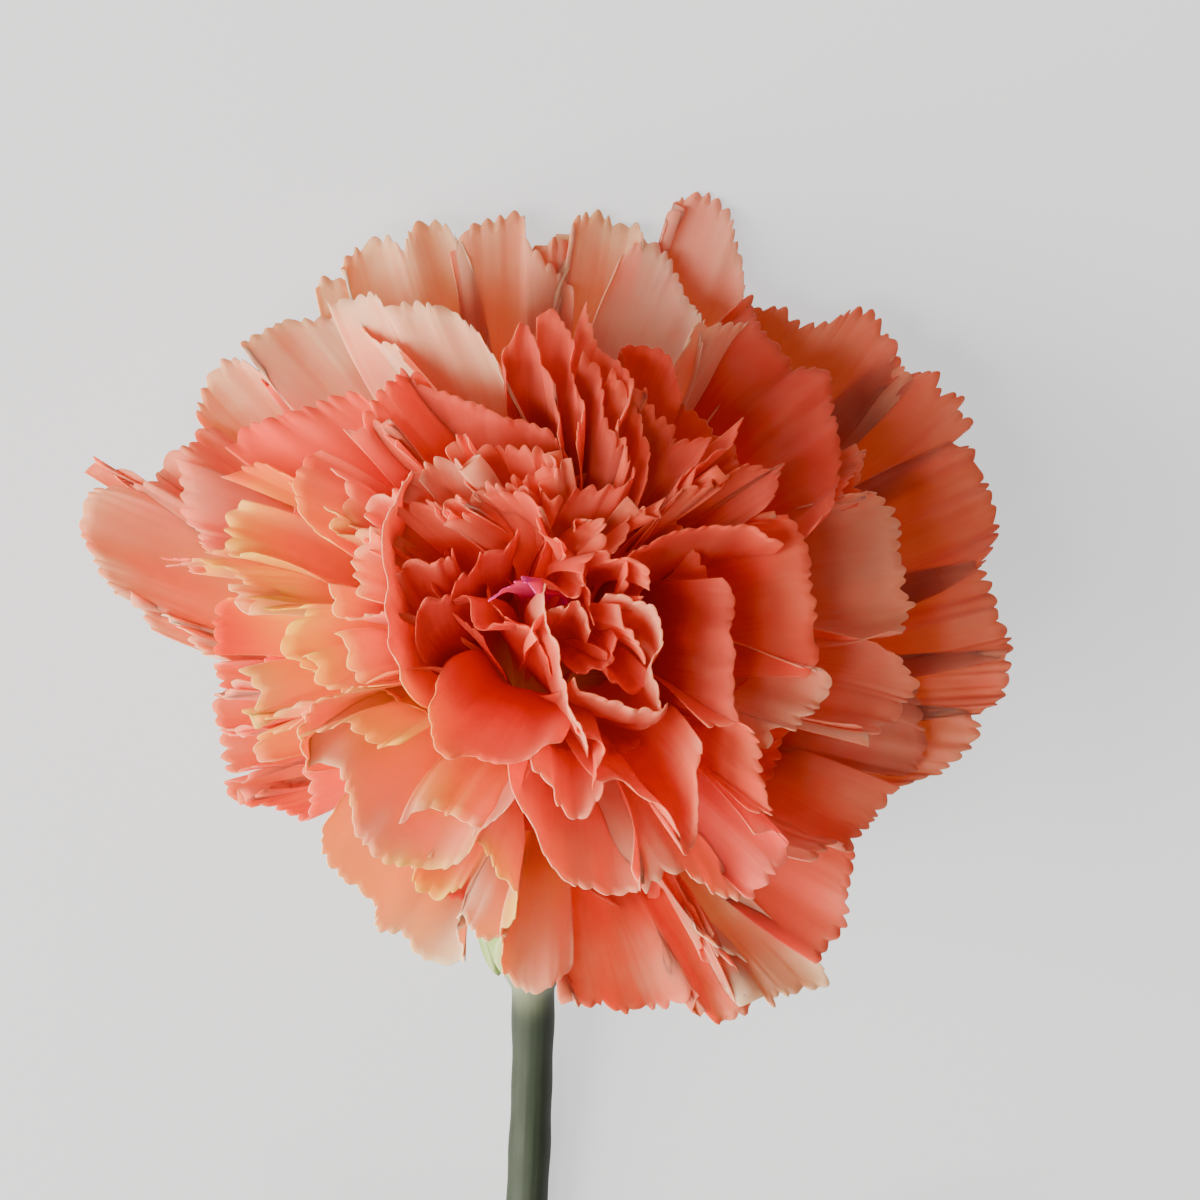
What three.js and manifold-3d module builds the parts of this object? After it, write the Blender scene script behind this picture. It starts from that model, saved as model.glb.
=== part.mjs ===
// A cut double carnation lying on its side: a ruffled bloom of toothed petals in a five-toothed calyx,
// on a short bent stem with two joints and a pair of narrow leaves at each. Millimetres, +Z up, the
// surface at Z = 0, the bloom's face towards -Y and the cut end of the stem towards +Y. The origin is
// on the surface, under the middle of the flower.
import * as THREE from "three";
import { mergeVertices } from "three/addons/utils/BufferGeometryUtils.js";
import Module from "manifold-3d";

// ---- Driving dimensions ----

// How the flower lies.
const MOUTH = new THREE.Vector3(0, -72, 17); // middle of the calyx's mouth, where the petals leave it
const CALYX_RISE = 20; // degrees that the calyx points up from the surface
const FACE_TILT = 16; // degrees that the bloom's face turns up from the calyx's axis
const FACE_SIDE_TURN = 8; // degrees that it turns to its side
const TILT_HEIGHT = 6; // above the mouth, where those turns are made
const GAP = 0.3; // between pieces that touch

// The bloom's rounded outline, above the mouth: shorter on its upper side by `shortSide`, and higher by
// `slope` on the side that it lies on. `power` sets how square its section is.
const DOME = { radius: 43, shortSide: 8, middle: 19, slope: 5, depth: 19, power: 2.4 };
const DOME_HEART = 8; // above the mouth, from where the edges' directions are measured
const DOME_REACH = [4, 60]; // the outline's least and greatest distance from there

// Petals, from the outermost whorl to the heart of the bloom. `opens` is how many degrees from the axis
// the middle of a petal's edge lies, `level` how far out it is as a share of the rounded outline, `width`
// the edge's width, `curl` how many degrees the blade bends on past its own slope, and `fold` and `frill`
// the heights of its broad and its fine waves.
const WHORLS = [
  { count: 9, opens: 92, level: 0.92, width: 32, curl: 26, fold: 1.3, frill: 0.5 },
  { count: 8, opens: 76, level: 0.99, width: 34, curl: 24, fold: 1.5, frill: 0.5 },
  { count: 8, opens: 59, level: 0.98, width: 30, curl: 22, fold: 1.7, frill: 0.6 },
  { count: 7, opens: 42, level: 0.96, width: 25, curl: 16, fold: 1.7, frill: 0.6 },
  { count: 5, opens: 26, level: 0.93, width: 18, curl: 8, fold: 1.6, frill: 0.6 },
  { count: 3, opens: 10, level: 0.9, width: 12, curl: 0, fold: 1.4, frill: 0.5 },
];
const WHORL_TURN = 137.5; // degrees between the first petals of one whorl and the next
const SPREAD = { place: 0.2, opens: 5, level: 0.03, skew: 5, waves: 0.25 }; // how far the draws reach
const FAN_RADIUS = 40; // of the circle that the edges of petals in the widest whorl run along
const LEAST_FAN_RADIUS = 8;
const CORNER_DROP = 0.16; // how far an edge's corners fall inside the outline, as a share of it
const PETAL_THICKNESS = 0.7;
const CLAW_HALF_WIDTH = 2.2;
const ROOT_RADIUS = 3.2; // of the ring of the outermost claws
const LEAST_ROOT_SHARE = 0.25; // of that radius, for the innermost claws
const LEAVE_HEIGHT = 18; // the least height to which a claw heads straight up
const LEAVE_SHARE = 0.46; // of a petal's reach over which it heads up
const ARRIVE_SHARE = 0.36; // of its reach over which it heads for its edge
const TOOTH_DEPTH = 1.5;
const BROAD_WAVES = 2.6; // across one blade
const BROAD_GROWTH = 1.7; // the power with which they grow along it
const FINE_WAVES = 4.3;
const FINE_GROWTH = 5;
const SEED = 20;

// Where the lowest petals press on the surface.
const PRESS_FLOOR = 0.05; // the height of a pressed petal's middle
const PRESS_SOFTNESS = 0.4; // how softly a petal bends as it meets the surface

// Calyx and the bundle of claws in it.
const CALYX_LENGTH = 27;
const CALYX_RADIUS = 6.6;
const CALYX_FOOT_RADIUS = 3.6;
const CALYX_WALL = 0.8;
const CALYX_TEETH = 5;
const CALYX_TOOTH_HEIGHT = 6;
const BUNDLE_HEAD_HEIGHT = 20; // of the claws' bundle, above the mouth
const BUNDLE_HEAD_RADIUS = 9;
const BRACT_COUNT = 4;
const BRACT_LENGTH = 11;
const BRACT_HALF_WIDTH = 3.8;
const BRACT_THICKNESS = 0.9;

// Stem and leaves.
const STEM_RADIUS = 2.1;
const STEM_LENGTH = 158; // along Y, from the calyx's foot to the cut end
const JOINT_RADIUS = 3.1;
const JOINT_DISTANCES = [68, 124]; // along Y, from the calyx's foot
const LEAF_LENGTHS = [64, 74];
const LEAF_HALF_WIDTH = 2.3;
const LEAF_THICKNESS = 0.9;

const radians = THREE.MathUtils.degToRad;
const smoothstep = THREE.MathUtils.smoothstep;

// ---- Materials ----

const material = (name, color, roughness) =>
  new THREE.MeshStandardMaterial({ name, color, roughness, metalness: 0 });
const petalCoral = material("petal_coral", 0xe8694a, 0.7);
const calyxGreen = material("calyx_green", 0x8fae5c, 0.6);
const stemGreen = material("stem_green", 0x7f9278, 0.65);
const leafGreen = material("leaf_green", 0x7c9482, 0.65);

// ---- Joining and cutting ----

const wasm = await Module();
wasm.setup();

const WELD = 2e-3; // vertices closer than this are one

// A closed geometry as a solid.
function solid(geometry) {
  const bare = new THREE.BufferGeometry().setAttribute("position", geometry.getAttribute("position"));
  if (geometry.index) bare.setIndex(geometry.index);
  const merged = mergeVertices(bare, WELD);
  return new wasm.Manifold(
    new wasm.Mesh({
      numProp: 3,
      vertProperties: new Float32Array(merged.attributes.position.array),
      triVerts: new Uint32Array(merged.index.array),
    }),
  );
}

// A solid's surface as a geometry.
function surfaceOf(body) {
  const { vertProperties, triVerts } = body.getMesh();
  const geometry = new THREE.BufferGeometry();
  geometry.setAttribute("position", new THREE.BufferAttribute(vertProperties, 3));
  geometry.setIndex(new THREE.BufferAttribute(triVerts, 1));
  return geometry;
}

const joined = (bodies) => bodies.reduce((whole, body) => whole.add(body));

// The largest single body of a solid: a loose scrap is dropped, and a sealed hollow is filled.
const largest = (body) => body.decompose().reduce((a, b) => (a.volume() > b.volume() ? a : b));

// A solid as a finished geometry, with its slivers smoothed away.
const SLIVER = 0.05;
function geometryOf(body) {
  const smoothed = largest(body).simplify(SLIVER);
  const geometry = surfaceOf(largest(solid(surfaceOf(smoothed))));
  geometry.computeVertexNormals();
  return geometry;
}

function mesh(name, geometry, finish) {
  const made = new THREE.Mesh(geometry, finish);
  made.name = name;
  return made;
}

// ---- Thin blades ----

// A closed blade of even thickness over rows of middle points. Each row has as many points as the one
// before it or twice the segments, so both faces are split into triangles alike.
function bladeGeometry(rows, thickness) {
  const start = [];
  const middle = [];
  rows.forEach((row) => {
    start.push(middle.length);
    middle.push(...row);
  });
  const triangles = [];
  for (let r = 0; r + 1 < rows.length; r++) {
    const low = rows[r].length - 1;
    const high = rows[r + 1].length - 1;
    for (let i = 0; i < low; i++) {
      const a = start[r] + i;
      if (high === low) {
        const b = start[r + 1] + i;
        triangles.push([a, a + 1, b + 1], [a, b + 1, b]);
      } else {
        const b = start[r + 1] + 2 * i;
        triangles.push([a, a + 1, b + 1], [a, b + 1, b], [a + 1, b + 2, b + 1]);
      }
    }
  }
  const normals = middle.map(() => new THREE.Vector3());
  const side = new THREE.Vector3();
  const other = new THREE.Vector3();
  for (const [a, b, c] of triangles) {
    side.subVectors(middle[b], middle[a]);
    other.subVectors(middle[c], middle[a]);
    side.cross(other);
    for (const i of [a, b, c]) normals[i].add(side);
  }
  const count = middle.length;
  const positions = [];
  for (const sign of [1, -1])
    middle.forEach((point, i) => {
      const lifted = normals[i].clone().setLength((sign * thickness) / 2);
      positions.push(...lifted.add(point).toArray());
    });
  const rim = rimOf(rows, start);
  const index = [];
  for (const [a, b, c] of triangles) index.push(a, b, c, a + count, c + count, b + count);
  rim.forEach((a, i) => {
    const b = rim[(i + 1) % rim.length];
    index.push(b, a, a + count, b, a + count, b + count);
  });
  const geometry = new THREE.BufferGeometry();
  geometry.setAttribute("position", new THREE.Float32BufferAttribute(positions, 3));
  geometry.setIndex(index);
  return geometry;
}

// The blade's rim, in order: along the first row, up one side, back along the last row and down.
function rimOf(rows, start) {
  const last = rows.length - 1;
  const rim = rows[0].map((_, i) => i);
  for (let r = 1; r < last; r++) rim.push(start[r] + rows[r].length - 1);
  for (let i = rows[last].length - 1; i >= 0; i--) rim.push(start[last] + i);
  for (let r = last - 1; r > 0; r--) rim.push(start[r]);
  return rim;
}

// ---- Petals ----

// A seeded row of draws, each from -1 to 1.
function draws(seed) {
  let state = seed >>> 0;
  return () => {
    state = (Math.imul(state, 1664525) + 1013904223) >>> 0;
    return (state / 2 ** 32) * 2 - 1;
  };
}

const UP = new THREE.Vector3(0, 0, 1);

// How far a point is from the bloom's middle: 1 on its rounded outline.
function fullness(point) {
  const out = Math.hypot(point.x, point.y);
  const upper = Math.max(0, -point.y / Math.max(out, 1e-6));
  const high = point.z - DOME.middle - (DOME.slope * point.y) / DOME.radius;
  const share = (out / (DOME.radius - DOME.shortSide * upper ** 2)) ** DOME.power;
  return (share + (Math.abs(high) / DOME.depth) ** DOME.power) ** (1 / DOME.power);
}

// The point in a direction from the dome's heart whose fullness is `level`, found by halving.
function onDome(azimuth, opens, level) {
  const outward = Math.sin(opens);
  const way = new THREE.Vector3(outward * Math.cos(azimuth), outward * Math.sin(azimuth), Math.cos(opens));
  const at = (reach) => way.clone().multiplyScalar(reach).addScaledVector(UP, DOME_HEART);
  let [near, far] = DOME_REACH;
  while (far - near > WELD) {
    const middle = (near + far) / 2;
    if (fullness(at(middle)) < level) near = middle;
    else far = middle;
  }
  return at(near);
}

// Everything that tells one petal from its neighbours.
function petal(whorl, ring, place) {
  const draw = draws(SEED + 101 * ring + 7 * place);
  for (let skipped = 0; skipped < 3; skipped++) draw();
  return {
    azimuth: radians(ring * WHORL_TURN + (360 * (place + SPREAD.place * draw())) / whorl.count),
    opens: radians(whorl.opens + SPREAD.opens * draw()),
    level: whorl.level * (1 + SPREAD.level * draw()),
    width: whorl.width,
    curl: radians(whorl.curl),
    skew: radians(SPREAD.skew * draw()),
    fold: whorl.fold * (1 + SPREAD.waves * draw()),
    foldPhase: Math.PI * draw(),
    frill: whorl.frill * (1 + SPREAD.waves * draw()),
    frillPhase: Math.PI * draw(),
  };
}

// A point of the petal's edge, `across` from -1 to 1: on the dome, falling away at its corners.
function edgePoint(p, across) {
  const opens = p.opens + p.skew * across;
  const out = Math.max(LEAST_FAN_RADIUS, FAN_RADIUS * Math.sin(Math.min(opens, Math.PI / 2)));
  const azimuth = p.azimuth + (across * p.width) / 2 / out;
  return onDome(azimuth, opens, p.level * (1 - CORNER_DROP * Math.abs(across) ** 2.5));
}

// How far a petal's edge falls short of its full length, as teeth.
const toothAt = (edgeIndex) => (edgeIndex % 2 ? 0 : TOOTH_DEPTH);

// The petal's smooth surface: straight up from its claw, then out in a curve to its edge. `along` runs
// from 0 at the root to 1 at the edge.
function smoothPoint(p, along, across, shortfall) {
  const edge = edgePoint(p, across);
  const middle = edgePoint(p, 0);
  const outward = new THREE.Vector3(Math.cos(p.azimuth), Math.sin(p.azimuth), 0);
  const sideways = new THREE.Vector3(-outward.y, outward.x, 0);
  const root = ROOT_RADIUS * Math.min(1, LEAST_ROOT_SHARE + Math.hypot(middle.x, middle.y) / DOME.radius);
  const base = outward.multiplyScalar(root).addScaledVector(sideways, across * CLAW_HALF_WIDTH);
  const gone = edge.clone().sub(base);
  const reach = gone.length();
  const lean = Math.atan2(Math.hypot(gone.x, gone.y), gone.z);
  const rise = Math.max(LEAVE_HEIGHT, LEAVE_SHARE * Math.cos(lean / 2) * reach);
  const arrival = new THREE.Vector3(gone.x, gone.y, 0).setLength(Math.sin(lean + p.curl));
  arrival.z = Math.cos(lean + p.curl);
  const leave = base.clone().addScaledVector(UP, rise);
  const near = edge.clone().addScaledVector(arrival, -ARRIVE_SHARE * reach);
  return new THREE.CubicBezierCurve3(base, leave, near, edge).getPoint(along * (1 - shortfall / reach));
}

// A point on the petal's middle surface: the smooth surface, waved across itself.
function petalPoint(p, along, across, shortfall) {
  const point = smoothPoint(p, along, across, shortfall);
  const little = 0.01;
  const aside = smoothPoint(p, along, across + little, shortfall).sub(point);
  const ahead = smoothPoint(p, along - little, across, shortfall).sub(point);
  const wave =
    p.fold * along ** BROAD_GROWTH * Math.sin(Math.PI * BROAD_WAVES * across + p.foldPhase) +
    p.frill * along ** FINE_GROWTH * Math.sin(Math.PI * FINE_WAVES * across + p.frillPhase);
  return point.addScaledVector(aside.cross(ahead).normalize(), wave);
}

const faceTurn = new THREE.Matrix4()
  .makeTranslation(0, 0, TILT_HEIGHT)
  .multiply(new THREE.Matrix4().makeRotationX(radians(FACE_TILT)))
  .multiply(new THREE.Matrix4().makeRotationY(radians(FACE_SIDE_TURN)))
  .multiply(new THREE.Matrix4().makeTranslation(0, 0, -TILT_HEIGHT));
const upright = new THREE.Vector3(0, -Math.cos(radians(CALYX_RISE)), Math.sin(radians(CALYX_RISE)));

// Presses a point of the head softly onto the surface below it. In the head's own frame the surface's
// upward direction is `upright`.
function press(point) {
  const height = MOUTH.z + point.dot(upright);
  const pressed = PRESS_FLOOR + PRESS_SOFTNESS * Math.log1p(Math.exp((height - PRESS_FLOOR) / PRESS_SOFTNESS));
  return point.addScaledVector(upright, pressed - height);
}

// Segments across the petal in each row, and how far along it each row lies.
const PETAL_ROWS = [
  { segments: 2, along: 0.04 },
  { segments: 2, along: 0.3 },
  { segments: 4, along: 0.5 },
  { segments: 8, along: 0.77 },
  { segments: 16, along: 1 },
];

function petalSolid(p) {
  const rows = PETAL_ROWS.map(({ segments, along }, r) =>
    Array.from({ length: segments + 1 }, (_, i) => {
      const shortfall = r === PETAL_ROWS.length - 1 ? toothAt(i) : 0;
      const point = petalPoint(p, along, (2 * i) / segments - 1, shortfall);
      return press(point.applyMatrix4(faceTurn));
    }),
  );
  return solid(bladeGeometry(rows, PETAL_THICKNESS));
}

// The bundle of claws: a round stalk that fills the calyx and ends in a rounded head among the petals.
function bundleSolid() {
  const inner = CALYX_RADIUS - CALYX_WALL - GAP;
  const foot = CALYX_FOOT_RADIUS - CALYX_WALL - GAP;
  const floor = -CALYX_LENGTH + CALYX_WALL + GAP;
  const profile = [new THREE.Vector2(0, floor), new THREE.Vector2(foot, floor)];
  profile.push(new THREE.Vector2(inner - 0.4, -0.55 * CALYX_LENGTH));
  profile.push(new THREE.Vector2(inner, CALYX_TOOTH_HEIGHT + 2 * GAP));
  for (let i = 0; i <= 4; i++) {
    const angle = (i / 4) * (Math.PI / 2);
    const out = i === 4 ? 0 : BUNDLE_HEAD_RADIUS * Math.cos(angle);
    const high = BUNDLE_HEAD_HEIGHT - BUNDLE_HEAD_RADIUS * (1 - Math.sin(angle));
    profile.push(new THREE.Vector2(out, high));
  }
  return solid(new THREE.LatheGeometry(profile, 16).rotateX(Math.PI / 2));
}

// The surface that the head rests on, as a thick block in the head's frame.
function groundBlock() {
  const size = 400;
  const block = new THREE.BoxGeometry(size, size, size);
  block.translate(0, 0, -size / 2 - MOUTH.z);
  return solid(block.applyMatrix4(new THREE.Matrix4().makeRotationX(Math.PI / 2 - radians(CALYX_RISE))));
}

function bloomGeometry() {
  const petals = WHORLS.flatMap((whorl, ring) =>
    Array.from({ length: whorl.count }, (_, place) => petalSolid(petal(whorl, ring, place))),
  );
  const whole = joined([bundleSolid(), ...petals]).subtract(groundBlock());
  return geometryOf(whole);
}

// ---- Calyx ----

// The calyx: a cup whose rim rises into five teeth. A lathed cup's top rows are lifted by a triangle
// wave round the rim.
function cupSolid() {
  const outer = [
    [0, -CALYX_LENGTH],
    [CALYX_FOOT_RADIUS, -CALYX_LENGTH],
    [CALYX_FOOT_RADIUS + 1.6, 0.12 * CALYX_LENGTH - CALYX_LENGTH],
    [CALYX_RADIUS - 0.4, -0.55 * CALYX_LENGTH],
    [CALYX_RADIUS, -6],
    [CALYX_RADIUS, 0],
  ];
  const inner = outer.slice(1).map(([out, high]) => [out - CALYX_WALL, high]);
  inner[0] = [CALYX_FOOT_RADIUS - CALYX_WALL, -CALYX_LENGTH + CALYX_WALL];
  const profile = [...outer, ...inner.reverse(), [0, -CALYX_LENGTH + CALYX_WALL]];
  const points = profile.map(([out, high]) => new THREE.Vector2(out, high));
  const sides = 6 * CALYX_TEETH;
  const cup = new THREE.LatheGeometry(points, sides).rotateX(Math.PI / 2);
  const place = cup.getAttribute("position");
  for (let i = 0; i < place.count; i++) {
    if (place.getZ(i) < -0.01) continue;
    const turn = (Math.atan2(place.getY(i), place.getX(i)) / (2 * Math.PI)) * CALYX_TEETH;
    const tip = 1 - 2 * Math.abs(turn - Math.round(turn));
    place.setZ(i, CALYX_TOOTH_HEIGHT * tip);
    const flare = 1 + 0.06 * tip;
    place.setXY(i, place.getX(i) * flare, place.getY(i) * flare);
  }
  return solid(cup);
}

// One broad, pointed bract that hugs the calyx's foot.
function bractSolid(index) {
  const pairLift = index % 2 ? 1.2 : 0;
  const widths = [0.7, 1, 0.8, 0.18];
  const rows = widths.map((share, r) => {
    const along = r / (widths.length - 1);
    const high = -CALYX_LENGTH + 0.4 + pairLift + along * BRACT_LENGTH;
    const out = CALYX_FOOT_RADIUS + 0.5 + 1.9 * Math.sqrt(along) + 0.25 * pairLift;
    return Array.from({ length: 5 }, (_, i) => {
      const angle = ((i / 2 - 1) * share * BRACT_HALF_WIDTH) / out;
      return new THREE.Vector3(out * Math.cos(angle), out * Math.sin(angle), high);
    });
  });
  const blade = bladeGeometry(rows, BRACT_THICKNESS);
  return solid(blade.rotateZ((2 * Math.PI * index) / BRACT_COUNT));
}

function calyxGeometry() {
  const bracts = Array.from({ length: BRACT_COUNT }, (_, i) => bractSolid(i));
  return geometryOf(joined([cupSolid(), ...bracts]));
}

// ---- Stem ----

const rise = radians(CALYX_RISE);
const backward = new THREE.Vector3(0, Math.cos(rise), -Math.sin(rise));
const FOOT = backward.multiplyScalar(CALYX_LENGTH + GAP).add(MOUTH);

// The stem's middle line: straight out of the calyx, down in a bend until its first joint touches the
// surface, then along it with a slight sideways sway.
const TOUCHDOWN = 62; // along Y, from the calyx's foot
const SWAY = 5;
function stemPoint(distance) {
  const pastJoints = smoothstep(distance, JOINT_DISTANCES[1], STEM_LENGTH);
  const low = THREE.MathUtils.lerp(JOINT_RADIUS, STEM_RADIUS, pastJoints);
  const left = Math.max(0, 1 - distance / TOUCHDOWN);
  const slope = Math.tan(rise) * TOUCHDOWN;
  const height = low + (FOOT.z - low) * (3 - 2 * left) * left * left - slope * (1 - left) * left * left;
  const aside = SWAY * Math.sin((Math.PI * distance) / STEM_LENGTH / 1.4) ** 2;
  return new THREE.Vector3(FOOT.x + aside, FOOT.y + distance, height);
}

class StemLine extends THREE.Curve {
  getPoint(t) {
    return stemPoint(t * STEM_LENGTH);
  }
}

// A circle of the given radius and number of sides, as an extrusion's outline.
function round(radius, sides) {
  const outline = new THREE.Shape();
  for (let i = 0; i < sides; i++) {
    const angle = (2 * Math.PI * i) / sides;
    outline[i ? "lineTo" : "moveTo"](radius * Math.cos(angle), radius * Math.sin(angle));
  }
  return outline;
}

// Places an upright shape at a distance along the stem, in line with it.
function alongStem(geometry, distance) {
  const ahead = stemPoint(distance + 1).sub(stemPoint(distance - 1)).normalize();
  const turn = new THREE.Quaternion().setFromUnitVectors(UP, ahead);
  return geometry.applyQuaternion(turn).translate(...stemPoint(distance).toArray());
}

function stemGeometry() {
  const stalk = new THREE.ExtrudeGeometry(round(STEM_RADIUS, 10), {
    extrudePath: new StemLine(),
    steps: 18,
    bevelEnabled: false,
  });
  const collar = new THREE.CylinderGeometry(STEM_RADIUS * 0.98, CALYX_FOOT_RADIUS, 4, 12);
  collar.rotateX(Math.PI / 2).rotateX(Math.PI).translate(0, 0, 2);
  const joints = JOINT_DISTANCES.map((distance) =>
    solid(alongStem(new THREE.SphereGeometry(JOINT_RADIUS, 12, 8).scale(1, 1, 1.5), distance)),
  );
  const whole = joined([solid(stalk), solid(alongStem(collar, 0)), ...joints]);
  return geometryOf(whole);
}

// ---- Leaves ----

const LEAF_ROWS = 14;
const LEAF_LEANS = [4, 46, 38]; // degrees from the stem at its base, then added by its middle and by its tip

// One long leaf from a stem joint. It starts as half a sheath on the joint, runs forward beside the
// stem, arches away to its side and curls at the tip, and it never goes below the surface.
function leafGeometry(joint, length, roll, side) {
  const base = stemPoint(JOINT_DISTANCES[joint] + 3);
  const forward = stemPoint(JOINT_DISTANCES[joint] - 6).sub(base).normalize();
  const out = new THREE.Vector3(side * Math.cos(roll), 0, Math.sin(roll)).normalize();
  const rows = [];
  const spine = base.clone().addScaledVector(out, JOINT_RADIUS + GAP + LEAF_THICKNESS / 2);
  const step = length / LEAF_ROWS;
  for (let r = 0; r <= LEAF_ROWS; r++) {
    const along = r / LEAF_ROWS;
    const bends = [1, smoothstep(along, 0.04, 0.5), smoothstep(along, 0.5, 1)];
    const lean = radians(bends.reduce((sum, share, i) => sum + share * LEAF_LEANS[i], 0));
    const heading = forward.clone().multiplyScalar(Math.cos(lean)).addScaledVector(out, Math.sin(lean));
    if (r) spine.addScaledVector(heading, step);
    const middle = spine.clone();
    middle.z = Math.max(middle.z, LEAF_CLEARANCE);
    const face = out.clone().multiplyScalar(Math.cos(lean)).addScaledVector(forward, -Math.sin(lean));
    const wide = new THREE.Vector3().crossVectors(heading, face).normalize();
    const half = LEAF_HALF_WIDTH * leafWidth(along);
    rows.push(
      [-1, -0.5, 0, 0.5, 1].map((across) => {
        const channel = -0.42 * half * across * across;
        const point = middle.clone().addScaledVector(wide, across * half).addScaledVector(face, channel);
        point.z = Math.max(point.z, LEAF_THICKNESS / 2);
        return point;
      }),
    );
  }
  return geometryOf(solid(bladeGeometry(rows, LEAF_THICKNESS)));
}

const LEAF_CLEARANCE = 1.6;
const leafWidth = (along) => Math.min(1, 0.75 + along) * Math.sqrt(1 - along ** 3 * 0.98);

const LEAVES = [
  { name: "leaf_upper_left", joint: 0, roll: 20, side: 1 },
  { name: "leaf_upper_right", joint: 0, roll: 8, side: -1 },
  { name: "leaf_lower_left", joint: 1, roll: 4, side: 1 },
  { name: "leaf_lower_right", joint: 1, roll: 62, side: -1 },
];

// ---- The flower ----

const head = new THREE.Group();
head.position.copy(MOUTH);
head.rotation.set(rise - Math.PI / 2, 0, Math.PI, "ZYX");
head.add(mesh("bloom", bloomGeometry(), petalCoral));
head.add(mesh("calyx", calyxGeometry(), calyxGreen));

const flower = new THREE.Group();
flower.add(head, mesh("stem", stemGeometry(), stemGreen));
for (const { name, joint, roll, side } of LEAVES)
  flower.add(mesh(name, leafGeometry(joint, LEAF_LENGTHS[joint], radians(roll), side), leafGreen));

// Puts the origin on the surface, under the middle of the flower.
flower.updateMatrixWorld(true);
const middle = new THREE.Box3().setFromObject(flower, true).getCenter(new THREE.Vector3());
flower.position.set(-middle.x, -middle.y, 0);

export default flower;
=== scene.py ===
"""The looks of a cut double carnation that lies on its side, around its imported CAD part.

The bloom is thin petals: those that the photograph shows, each placed by its toothed edge in it, over whorls
that they mostly hide. Every petal has a narrow claw and a fan-shaped blade, with folds that deepen towards
the edge. Lengths are in millimetres until a mesh is written, in metres.
"""

import logging
import math
from dataclasses import dataclass, replace
from typing import Callable, Optional

import bmesh
import bpy
import numpy as np
from mathutils import Matrix, Vector


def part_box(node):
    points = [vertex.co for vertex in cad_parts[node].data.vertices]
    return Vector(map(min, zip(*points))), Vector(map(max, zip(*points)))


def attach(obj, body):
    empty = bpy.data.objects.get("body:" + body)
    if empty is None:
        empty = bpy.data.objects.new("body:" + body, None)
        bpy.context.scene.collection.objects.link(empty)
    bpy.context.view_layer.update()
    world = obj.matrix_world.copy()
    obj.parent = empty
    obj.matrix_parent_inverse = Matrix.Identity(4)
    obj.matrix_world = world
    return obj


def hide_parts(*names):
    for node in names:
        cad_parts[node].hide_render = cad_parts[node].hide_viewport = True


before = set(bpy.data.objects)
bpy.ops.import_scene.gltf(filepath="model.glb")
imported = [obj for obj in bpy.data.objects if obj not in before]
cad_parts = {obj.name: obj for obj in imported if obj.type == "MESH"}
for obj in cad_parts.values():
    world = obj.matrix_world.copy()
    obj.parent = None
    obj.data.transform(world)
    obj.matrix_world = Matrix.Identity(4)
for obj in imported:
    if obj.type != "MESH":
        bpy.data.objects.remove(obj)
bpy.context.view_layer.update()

log = logging.getLogger("carnation")

MM = 0.001
PHOTO_SIZE = 1200
ROOT_BODY = "root"

# How the flower lies, as in its CAD model.
CALYX_RISE = math.radians(20)
FACE_TILT = math.radians(16)
FACE_SIDE_TURN = math.radians(8)
TILT_HEIGHT = 6.0
MOUTH_HEIGHT = 17.0
CALYX_LENGTH = 27.0
CALYX_FOOT_RADIUS = 3.6
PIECE_GAP = 0.3
WELD = 1e-3


def smoothstep(value: np.ndarray, low: float = 0.0, high: float = 1.0) -> np.ndarray:
    """A smooth step from 0 at low to 1 at high."""
    share = np.clip((np.asarray(value, float) - low) / (high - low), 0.0, 1.0)
    return share * share * (3.0 - 2.0 * share)


# ---- Where things are ----


@dataclass(frozen=True)
class Lie:
    """Where the flower lies: its calyx's mouth and foot, in the row's frame, in millimetres."""

    mouth: Vector

    @classmethod
    def from_frame(cls) -> "Lie":
        """Reads the calyx's place from the CAD nodes' boxes."""
        calyx_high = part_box("calyx")[1]
        stem_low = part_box("stem")[0]
        foot_reach = CALYX_LENGTH * math.cos(CALYX_RISE) + CALYX_FOOT_RADIUS * math.sin(CALYX_RISE)
        across = stem_low.x / MM + CALYX_FOOT_RADIUS
        return cls(Vector((across, calyx_high.y / MM - foot_reach, MOUTH_HEIGHT)))

    @property
    def foot(self) -> Vector:
        """The top of the stem, just clear of the calyx's foot."""
        back = Vector((0.0, math.cos(CALYX_RISE), -math.sin(CALYX_RISE)))
        return self.mouth + back * (CALYX_LENGTH + PIECE_GAP)

    @property
    def head(self) -> Matrix:
        """From the flower's own frame (Z along its axis, out of the face) to the row's, in millimetres."""
        turn = Matrix.Rotation(math.pi, 4, "Z") @ Matrix.Rotation(CALYX_RISE - math.pi / 2, 4, "X")
        return Matrix.Translation(self.mouth) @ turn

    @property
    def face(self) -> Matrix:
        """From the frame of the petals' whorls, which is turned up a little from the calyx, to the row's."""
        pivot = Matrix.Translation((0.0, 0.0, TILT_HEIGHT))
        turn = Matrix.Rotation(FACE_TILT, 4, "X") @ Matrix.Rotation(FACE_SIDE_TURN, 4, "Y")
        return self.head @ pivot @ turn @ pivot.inverted()


def placed(points: np.ndarray, matrix: Matrix) -> np.ndarray:
    """Points of any shape (..., 3) moved by a 4 by 4 matrix."""
    table = np.array(matrix)
    return points @ table[:3, :3].T + table[:3, 3]


# ---- Meshes ----


def write_points(mesh: bpy.types.Mesh, points: np.ndarray) -> None:
    """Writes a mesh's vertices from millimetres."""
    mesh.vertices.foreach_set("co", (points.reshape(-1, 3) * MM).astype(np.float32).ravel())
    mesh.update()


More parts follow.
